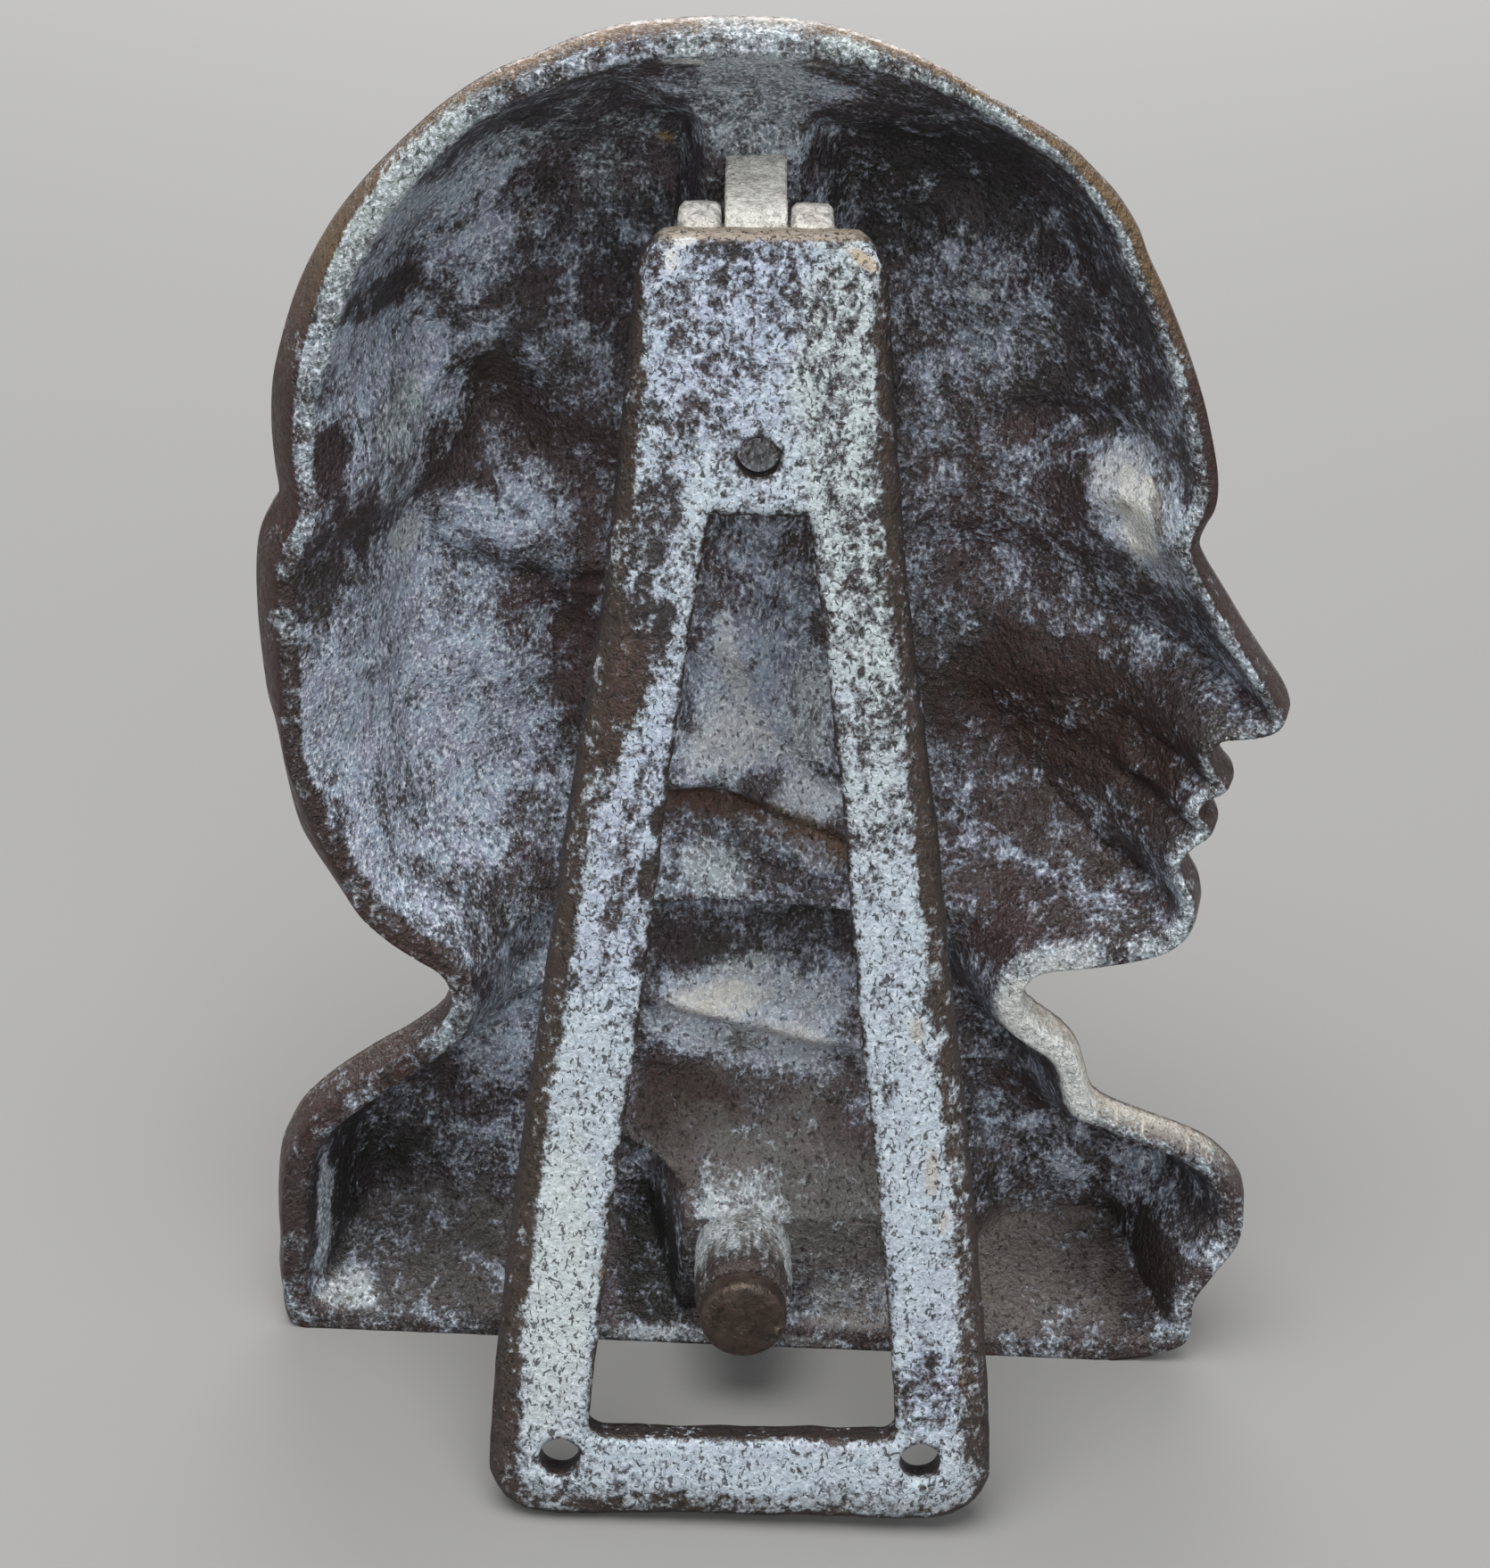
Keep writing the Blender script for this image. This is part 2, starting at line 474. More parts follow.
# grooves and ridges: (points, half width, height away from the viewer)
GROOVES = [([(-35.3, 89.0), (-32.4, 85.0), (-26.8, 82.3), (-19.1, 82.2), (-13.0, 82.6)], 1.6, 1.1),
           ([(-36.6, 97.3), (-36.3, 102.0), (-33.7, 105.8), (-29.2, 108.9)], 1.4, -1.0),
           ([(-8.3, 62.6), (-3.0, 62.9), (2.9, 60.7), (11.7, 57.4)], 2.1, -2.2),
           ([(-7.9, 54.2), (2.3, 52.8), (12.9, 51.1)], 2.5, 1.6),
           ([(-8.2, 26.6), (-1.2, 24.0), (8.6, 25.7), (16.2, 23.5)], 1.7, 1.0),
           ([(-10.3, 16.0), (-6.7, 13.8), (-1.2, 15.2)], 0.9, -1.0),
           ([(-1.2, 25.2), (-0.5, 20.0), (-1.8, 15.2)], 0.8, -0.8),
           ([(-35.5, 119.6), (-27.7, 124.4), (-20.6, 126.0)], 1.7, 0.5)]


def rear(x, z, d, yc):
    """yc is the coarse front. Returns the rear surface's y."""
    e = edge_in(x, z)
    q = rim_in(x, z, d)
    floor = yc - WALL
    for cx, cz, rx, rz, t, h in HOLLOWS:
        floor = floor + h * blob(x, z, cx, cz, rx, rz, t)
    for pts, w, h in GROOVES:
        floor = floor + h * ridge(x, z, catmull(pts, 4, False), w)
    floor = floor + 1.15 * fbm(x, z, 13, 3, 81) + 0.42 * fbm(x, z, 3.4, 3, 83) + 0.1 * fbm(x, z, 0.8, 2, 87)
    crown = step(-26, -8, x) * step(27, 9, x) * step(128, 139, z)
    wall = (2.7 - 1.45 * nape(x, z) - 1.35 * crown) * (np.sqrt(q * q + 0.3 ** 2) + q) / 2
    wall = wall * (1 + 0.12 * fbm(x, z, 4, 2, 91))
    y = smin(wall, np.maximum(floor, 0.8), 3.2 * np.clip(q / 2, 0.05, 1))
    # block under the crown that the tongue grows from
    bx, bz = HX + (x - HX) * gc + (z - HZ) * gs, HZ - (x - HX) * gs + (z - HZ) * gc
    by = np.interp(bz, [121, 128, 138, 143.4, 147.2, 148.3, 150], [13, 12.6, 12.2, 8.7, 5, 3.4, 2.5])
    flare = 6.5 * np.clip((bz - 134.5) / 9.5, 0, 1) ** 2.6
    side = np.maximum(HX - 5.2 - flare - bx, bx - (HX + 4.4) - flare) + 0.4 * fbm(x, z, 3.5, 3, 95)
    by = by + np.where(bx > HX, 1.5, 3.4) * np.maximum(side, -0.2) + 0.2 * fbm(x, z, 2.0, 2, 97)
    y = np.where((bz > 119) & (q > -0.5), smin(y, by, 1.8), y)
    # pad that carries the striker's boss: steep on its left, fading on its right
    pad = 2.2 + 1.1 * np.maximum(z - 16, 0) + 3.4 * np.maximum(BX - 6.6 - x - 1.9 * np.maximum(z - 18 - 0.8 * fbm(x, z, 5, 2, 98), 0), 0) + 0.9 * np.maximum(x - BX - 15, 0)
    pad = pad + 0.9 * fbm(x, z, 6, 3, 99) + 1.5 * np.clip(1 - np.hypot(x - BX, (z - BZ) * 1.1) / 14, 0, 1) * -1
    y = np.where(q > 0, smin(y, np.maximum(pad, 0.6), 2.2), y)
    s = np.clip(1 - d / np.maximum(e, 1e-6), 0, 1)
    shoulder = (4.2 - (0.9 + 2.7 * step(-4, 20, x)) * step(104, 122, z + 0.35 * x)) * s ** 1.6 * step(0, 3, z)
    y = np.where(d < e, shoulder, np.maximum(y, 0))
    flat = np.exp(-np.maximum(q, 0) * 2)
    return y + 0.07 * fbm(x, z, 1.1, 3, 77) * flat + 0.1 * fbm(x, z, 6, 2, 79) * flat


def casting():
    body = Body()
    baseA, baseB = OUTLINE[BASE_FROM], OUTLINE[BASE_FROM + 1]
    border = resample(upper, 0.55, False)
    n = int((baseB[0] - baseA[0]) / 0.6)
    border = border + [(baseA[0] + (baseB[0] - baseA[0]) * k / n, 0.0) for k in range(1, n)]
    x1, z1 = hexes(-53, 59, 0.3, 152, 0.5)
    d1 = edge_dist(x1, z1)
    x2, z2 = hexes(-53, 59, 0.3, 152, 0.31)
    d2 = edge_dist(x2, z2)
    m1, m2 = inside(x1, z1, border), inside(x2, z2, border)
    q1, q2 = rim_in(x1, z1, d1), rim_in(x2, z2, d2)
    fine_zone = lambda x, z, q: (q < 3.4) | ((x > 26) & (z > 46) & (z < 112))
    k1 = m1 & (d1 > 0.3) & (z1 > 0.3) & ~fine_zone(x1, z1, q1)
    k2 = m2 & (d2 > 0.28) & (z2 > 0.28) & fine_zone(x2, z2, q2)
    x, z = np.concatenate([x1[k1], x2[k2]]), np.concatenate([z1[k1], z2[k2]])
    x, z = snap(x, z, lambda a, b: edge_dist(a, b) - edge_in(a, b), 0.0, 0.15)
    P, T = triangulate([border], np.stack([x, z], 1), lambda a, b: inside(a, b, border))
    x, z = P[:, 0], P[:, 1]
    d = edge_dist(x, z)
    F, C = front(x, z, d), front(x, z, d, False)
    K = rear(x, z, d, C)
    F = np.maximum(F, K + 1.2)
    n = len(P)
    V = np.concatenate([np.stack([x, F, z], 1), np.stack([x, K, z], 1)])
    B = border_edges(T)
    band = np.concatenate([np.stack([B[:, 1] + n, B[:, 0] + n, B[:, 0]], 1), np.stack([B[:, 1] + n, B[:, 0], B[:, 1]], 1)])
    body.add(V, np.concatenate([T + n, T[:, ::-1], band]), 0)
    tongue = [(HY + EAR_R * math.cos(t), HZ + EAR_R * math.sin(t)) for t in np.linspace(math.pi / 2, 1.5 * math.pi, 22)]
    tongue += [(11, 123.5), (16.5, 122), (16.5, 137), (13.2, 135.3), (8.5, 134)]
    body.add(*bar(tongue, HX - TONGUE_HALF, HX + TONGUE_HALF, 0.45, square, 0.14, 5), 1)
    prof = [(0.01, 14.2), (5.8, 14.0), (5.4, 11.5), (5.2, 9.0), (5.15, 6), (5.2, 2), (5.3, -3), (5.2, -7.5), (5.05, -8.9), (4.7, -9.4), (4.2, -9.6), (0.01, -9.6)]
    ring = []
    for (r0, h0), (r1, h1) in zip(prof[:-1], prof[1:]):
        m = max(1, int(math.hypot(r1 - r0, h1 - h0) / 0.6))
        ring += [(r0 + (r1 - r0) * k / m, h0 + (h1 - h0) * k / m) for k in range(m)]
    ring.append(prof[-1])

    def rough(V):
        k = 1 + (0.035 * noise(V / 3.0, 31) + 0.02 * noise(V / 1.2, 33)) * (np.hypot(V[:, 0], V[:, 2]) > 3)
        W = V.copy()
        W[:, 0] *= k
        W[:, 2] *= k
        return W
    body.add(*lathe(ring, 96, lambda V: V + np.array([BX, 0, BZ]), rough), 2)
    V, T, tag = body.out()
    tag[:n] = 3
    return V, T, tag


def on_plate(V):
    """(x, s, w): s down the plate from the pin, w behind it."""
    x, s, w = np.asarray(V, float).T
    return square(np.stack([x, HY - w * co - s * si, HZ + w * si - s * co], 1))


HALF = [[-1.75, 8.2], [-1.35, 9.9], [0.1, 11.4], [2.2, 12.15], [5, 12.5], [14, 13.2], [27, 14.4], [38, 15.6], [57, 18.4], [73, 20.4], [94, 23.1],
        [113, 25.1], [126.5, 26.0]]
CORNER = [[129.4, 25.7], [131.7, 24.2], [133.1, 21.4], [133.55, 17], [FOOT, 10], [FOOT, 0]]
SLOT = [[4.1, 26.2], [4.9, 27], [6.6, 38], [8.9, 57], [10.9, 76], [13.4, 96], [15.2, 115], [15.9, 122.2], [15.5, 123.6], [14.4, 124.1]]
HOLES = [(0, 20.5), (-18.7, 126.4), (18.7, 126.4)]


def plate():
    body = Body()
    right = catmull([[0, -1.75]] + [[h, s] for s, h in HALF + CORNER], 5, False)
    outer = [(PX + h, s) for h, s in right] + [(PX - h, s) for h, s in right[-2:0:-1]]
    side = catmull(SLOT, 5, False)
    slot_l = [(PX + 0.2 + h, s) for h, s in side] + [(PX + 0.2 - h, s) for h, s in side[::-1]]
    wave = lambda L, a, seed: [(p[0] + a * f, p[1] + a * g) for p, f, g in zip(L, fbm([q[0] for q in L], [q[1] for q in L], 5, 3, seed), fbm([q[0] for q in L], [q[1] for q in L], 5, 3, seed + 9))]
    outer = wave(resample(outer, 0.5, True), 0.22, 101)
    slot_l = wave(resample(slot_l, 0.45, True), 0.3, 111)
    rounds = []
    for i, (x, s) in enumerate(HOLES):
        t = np.linspace(0, 2 * math.pi, 56, endpoint=False)
        r = HOLE_R * (1 + 0.02 * np.sin(2 * t + i) + 0.012 * np.sin(5 * t + 2 * i))
        rounds.append([(float(a), float(b)) for a, b in zip(PX + x + r * np.cos(t), s + r * np.sin(t))])
    x, s = hexes(PX - 27, PX + 27, -3, 134.5, 0.4)

    def keep(a, b):
        k = inside(a, b, outer) & ~inside(a, b, slot_l)
        for r in rounds:
            k &= ~inside(a, b, r)
        return k
    do = line_dist(x, s, outer[::2] + [outer[0]])
    ds = line_dist(x, s, slot_l[::2] + [slot_l[0]])
    k = keep(x, s) & (do > 0.22) & (ds > 0.22)
    for cx, cs in HOLES:
        k &= np.hypot(x - PX - cx, s - cs) > HOLE_R + 0.22
    P, T = triangulate([outer, slot_l] + rounds, np.stack([x[k], s[k]], 1), keep)
    x, s = P[:, 0], P[:, 1]
    do = line_dist(x, s, outer + [outer[0]])
    ds = line_dist(x, s, slot_l + [slot_l[0]])
    dh = np.min([np.hypot(x - PX - cx, s - cs) - HOLE_R for cx, cs in HOLES], axis=0)
    grow = step(-1, 10, s) * (0.55 + 0.45 * np.clip(s / 120, 0, 1)) + 0.1
    edge = do / np.maximum(grow, 0.1) * (1 + 0.22 * fbm(x, s, 6, 3, 121)) + 0.3 * fbm(x, s, 1.6, 2, 123)
    w = np.interp(edge, [0, 0.4, 0.8, 1.5, 2.1, 2.8, 3.5, 4.1], [6.3, 6.95, 7.4, 7.85, 8.1, 8.34, 8.47, 8.5])
    w = w - 0.55 * np.clip(1 - ds / 0.9, 0, 1) ** 2 - 0.3 * np.clip(1 - dh / 0.5, 0, 1) ** 2
    w = w + 0.07 * fbm(x, s, 7, 2, 131) + 0.05 * fbm(x, s, 1.2, 2, 133) - 0.04
    w = np.minimum(w, 8.53)
    b = W0 + 0.5 * np.clip(1 - do / 0.6, 0, 1) ** 2 + 0.3 * np.clip(1 - ds / 0.4, 0, 1) ** 2
    n = len(P)
    V = np.concatenate([np.stack([x, s, w], 1), np.stack([x, s, b], 1)])
    B = border_edges(T)
    m = len(B)
    mid = []
    for f in (0.25, 0.5, 0.75):
        mid.append(np.stack([x, s, w * (1 - f) + b * f], 1))
    rows = [V[:n]] + mid + [V[n:]]
    allV, off = [V[:n], V[n:]], 2 * n
    starts = [0]
    for r in mid:
        allV.append(r)
        starts.append(off)
        off += n
    starts.append(n)
    band = []
    for a, c in zip(starts[:-1], starts[1:]):
        band += [np.stack([B[:, 0] + a, B[:, 1] + a, B[:, 1] + c], 1), np.stack([B[:, 0] + a, B[:, 1] + c, B[:, 0] + c], 1)]
    allV = np.concatenate(allV)
    allT = np.concatenate([T, T[:, ::-1] + n] + [q[:, ::-1] for q in band])
    used = np.unique(allT)
    remap = np.full(len(allV), -1)
    remap[used] = np.arange(len(used))
    allV, allT = allV[used], remap[allT]
    Q = on_plate(allV)
    a, b_, c = Q[allT[:, 0]], Q[allT[:, 1]], Q[allT[:, 2]]
    if (np.cross(a, b_) * c).sum() < 0:
        allT = allT[:, ::-1]
    body.add(allV, allT, 0)
    ear = [(EAR_R * math.sin(math.pi / 2 - math.pi * i / 22), -EAR_R * math.cos(math.pi / 2 - math.pi * i / 22)) for i in range(23)]
    ear += [(-EAR_R, 1.5), (-2.0, W0 + 0.9), (8.5, W0 + 0.9), (EAR_R, 2.5)]
    for a, b_ in ((EAR_IN, EAR_OUT), (-EAR_OUT, -EAR_IN)):
        v, t = bar(ear, HX + a, HX + b_, 1.25, lambda V: V, 0.22, 7)
        body.add(v, t, 1)
    return body.out()




# ---------------------------------------------------------------- node helpers
class Mat:
    def __init__(self, name):
        self.m = bpy.data.materials.new(name)
        self.m.use_nodes = True
        self.t = self.m.node_tree
        self.n = self.t.nodes
        self.b = self.n["Principled BSDF"]
        self.co = self.n.new("ShaderNodeTexCoord").outputs["Object"]

    def link(self, a, b):
        self.t.links.new(a, b)

    def put(self, sock, v):
        if hasattr(v, "links"):
            self.link(v, sock)
        else:
            sock.default_value = v

    def attr(self, name):
        a = self.n.new("ShaderNodeAttribute")
        a.attribute_name = name
        return a.outputs["Fac"]

    def noise(self, per_mm, detail=3.0, rough=0.55, offset=0.0, stretch=(1, 1, 1), distort=0.0):
        mp = self.n.new("ShaderNodeMapping")
        self.link(self.co, mp.inputs["Vector"])
        mp.inputs["Scale"].default_value = [1000 * per_mm * k for k in stretch]
        mp.inputs["Location"].default_value = (offset, offset * 1.7, offset * 0.6)
        t = self.n.new("ShaderNodeTexNoise")
        self.link(mp.outputs["Vector"], t.inputs["Vector"])
        t.inputs["Scale"].default_value = 1.0
        t.inputs["Detail"].default_value = detail
        t.inputs["Roughness"].default_value = rough
        t.inputs["Distortion"].default_value = distort
        return t.outputs["Fac"]

    def cells(self, per_mm, offset=0.0, feature="F1"):
        mp = self.n.new("ShaderNodeMapping")
        self.link(self.co, mp.inputs["Vector"])
        mp.inputs["Scale"].default_value = [1000 * per_mm] * 3
        mp.inputs["Location"].default_value = (offset, offset * 1.3, offset * 0.7)
        t = self.n.new("ShaderNodeTexVoronoi")
        t.feature = feature
        self.link(mp.outputs["Vector"], t.inputs["Vector"])
        t.inputs["Scale"].default_value = 1.0
        return t.outputs["Distance"]

    def math(self, op, a, b=0.0, c=0.0, clamp=False):
        m = self.n.new("ShaderNodeMath")
        m.operation = op
        m.use_clamp = clamp
        self.put(m.inputs[0], a)
        self.put(m.inputs[1], b)
        self.put(m.inputs[2], c)
        return m.outputs[0]

    def range(self, v, a, b, c=0.0, d=1.0, smooth=True):
        m = self.n.new("ShaderNodeMapRange")
        m.interpolation_type = "SMOOTHSTEP" if smooth else "LINEAR"
        for k, q in zip(("Value", "From Min", "From Max", "To Min", "To Max"), (v, a, b, c, d)):
            self.put(m.inputs[k], q)
        return m.outputs[0]

    def mix(self, f, a, b):
        m = self.n.new("ShaderNodeMix")
        m.data_type = "RGBA"
        ins = [s for s in m.inputs if s.type == "RGBA"]
        self.put(m.inputs[0], f)
        for s, v in zip(ins, (a, b)):
            self.put(s, v if hasattr(v, "links") else (*v, 1.0))
        return [o for o in m.outputs if o.type == "RGBA"][0]

    def bump(self, h, strength, dist, normal=None):
        m = self.n.new("ShaderNodeBump")
        m.inputs["Strength"].default_value = strength
        m.inputs["Distance"].default_value = dist
        self.link(h, m.inputs["Height"])
        if normal is not None:
            self.link(normal, m.inputs["Normal"])
        return m.outputs["Normal"]


def srgb(r, g, b):
    return tuple(((c / 255 + 0.055) / 1.055) ** 2.4 if c > 10 else c / 255 / 12.92 for c in (r, g, b))


def patina(name, tints, rough_bare=0.42, metal=0.4, granule=2.2, clump=0.8, spread=(0.36, 0.64), soft=0.05, spark=0.5, pits=0.6, veil=0.4, relief=0.0003, cracks=0.4, mottle=1.0, worm=0.3, patchy=0.3, pit_at=(0.31, 0.39)):
    """Bare dark metal under a granular crust. Vertex values: cover (how much crust), warm, dark, mint, dust."""
    M = Mat(name)
    g1 = M.noise(granule, 2.0, 0.6, 3.1, stretch=(1, 0.75, 0.8))
    g2 = M.noise(clump, 4.0, 0.64, 9.7, distort=0.25)
    g3 = M.noise(0.11, 4.0, 0.62, 5.2)
    g4 = M.noise(0.36, 3.0, 0.6, 41.0, stretch=(1, 1, 0.6), distort=0.7)
    g5 = M.noise(0.16, 2.5, 0.6, 97.0, distort=0.9)
    grain = M.math("ADD", M.math("MULTIPLY", g1, 0.17), M.math("MULTIPLY", g2, 0.45 - patchy * 0.2))
    grain = M.math("ADD", grain, M.math("ADD", M.math("MULTIPLY", g5, 0.14 + patchy * 0.2), M.math("MULTIPLY", g4, 0.24)))
    cover = M.attr("cover")
    thr = M.range(cover, 0.0, 1.0, spread[1], spread[0], smooth=False)
    mask = M.range(grain, M.math("SUBTRACT", thr, soft), M.math("ADD", thr, soft))
    base = M.mix(M.range(g3, 0.35, 0.65), tints["bare_a"], tints["bare_b"])
    base = M.mix(M.range(M.noise(0.45, 3, 0.6, 21.0), 0.5, 0.72), base, tints["bare_c"])
    base = M.mix(M.range(M.noise(0.2, 3, 0.6, 91.0), 0.5, 0.66, 0.0, 0.85), base, tints["bare_d"])
    base = M.mix(M.range(g1, 0.3, 0.5, 0.55, 0.0), base, tints["dark"])
    base = M.mix(M.math("MULTIPLY", M.range(g1, 0.5, 0.68), M.math("MULTIPLY", M.range(g4, 0.4, 0.62, 0.15, 1.0), M.range(cover, 0.0, 0.4, 0.25 * veil, veil))), base, tints["crust_b"])
    base = M.mix(M.math("MULTIPLY", M.attr("dark"), M.range(g2, 0.2, 0.6, 0.7, 1.0)), base, tints["dark"])
    base = M.mix(M.math("MULTIPLY", M.attr("warm"), M.range(g2, 0.3, 0.62, 0.45, 1.0)), base, tints["warm"])
    crust = M.mix(M.range(M.noise(0.3, 3, 0.6, 33.0), 0.38, 0.62), tints["crust_a"], tints["crust_b"])
    crust = M.mix(M.attr("mint"), crust, tints["mint"])
    crust = M.mix(M.range(g4, 0.36, 0.6, 0.42 * mottle, 0.0), crust, tints["crust_lo"])
    crust = M.mix(M.range(g1, 0.48, 0.66, 0.0, 0.8 * mottle), crust, tints["crust_hi"])
    col = M.mix(mask, base, crust)
    dust = M.math("MULTIPLY", M.attr("dust"), M.range(g2, 0.3, 0.6, 0.55, 1.0))
    col = M.mix(dust, col, M.mix(M.range(g4, 0.4, 0.62, 0.0, 0.6), tints["dust"], tints["dirt"]))
    col = M.mix(M.attr("tan"), col, tints["tan"])
    crack = M.range(M.cells(1.15, 83.0, "DISTANCE_TO_EDGE"), 0.01, 0.1, 1.0, 0.0)
    col = M.mix(M.math("MULTIPLY", crack, M.range(cover, 0.5, 0.8, 0.0, cracks)), col, tints["dark"])
    pit = M.range(M.noise(granule * 0.85, 1.5, 0.5, 61.0, stretch=(1, 0.7, 0.7), distort=worm), pit_at[0], pit_at[1], 1.0, 0.0)
    col = M.mix(M.math("MULTIPLY", pit, M.range(M.attr("dust"), 0.4, 0.7, pits, 0.2 * pits)), col, tints["dark"])
    glint = M.range(M.noise(3.0, 1.0, 0.5, 57.0, stretch=(1, 0.8, 0.7)), 0.63, 0.72)
    glint = M.math("MULTIPLY", glint, M.range(cover, 0.12, 0.7, 0.0, spark))
    col = M.mix(glint, col, tints["glint"])
    M.link(col, M.b.inputs["Base Color"])
    bare = M.math("SUBTRACT", 1.0, M.math("MAXIMUM", mask, dust))
    M.link(M.math("MULTIPLY", bare, metal), M.b.inputs["Metallic"])
    M.link(M.math("ADD", M.math("MULTIPLY", M.range(g2, 0.3, 0.7, rough_bare - 0.08, rough_bare + 0.14), bare), M.math("MULTIPLY", M.math("SUBTRACT", 1.0, bare), 0.68)), M.b.inputs["Roughness"])
    h = M.math("ADD", M.math("MULTIPLY", mask, 0.35), M.math("SUBTRACT", g1, M.math("MULTIPLY", pit, 0.35)))
    n1 = M.bump(g2, 0.7, relief * 2.4)
    M.link(M.bump(h, 0.75, relief, n1), M.b.inputs["Normal"])
    return M.m


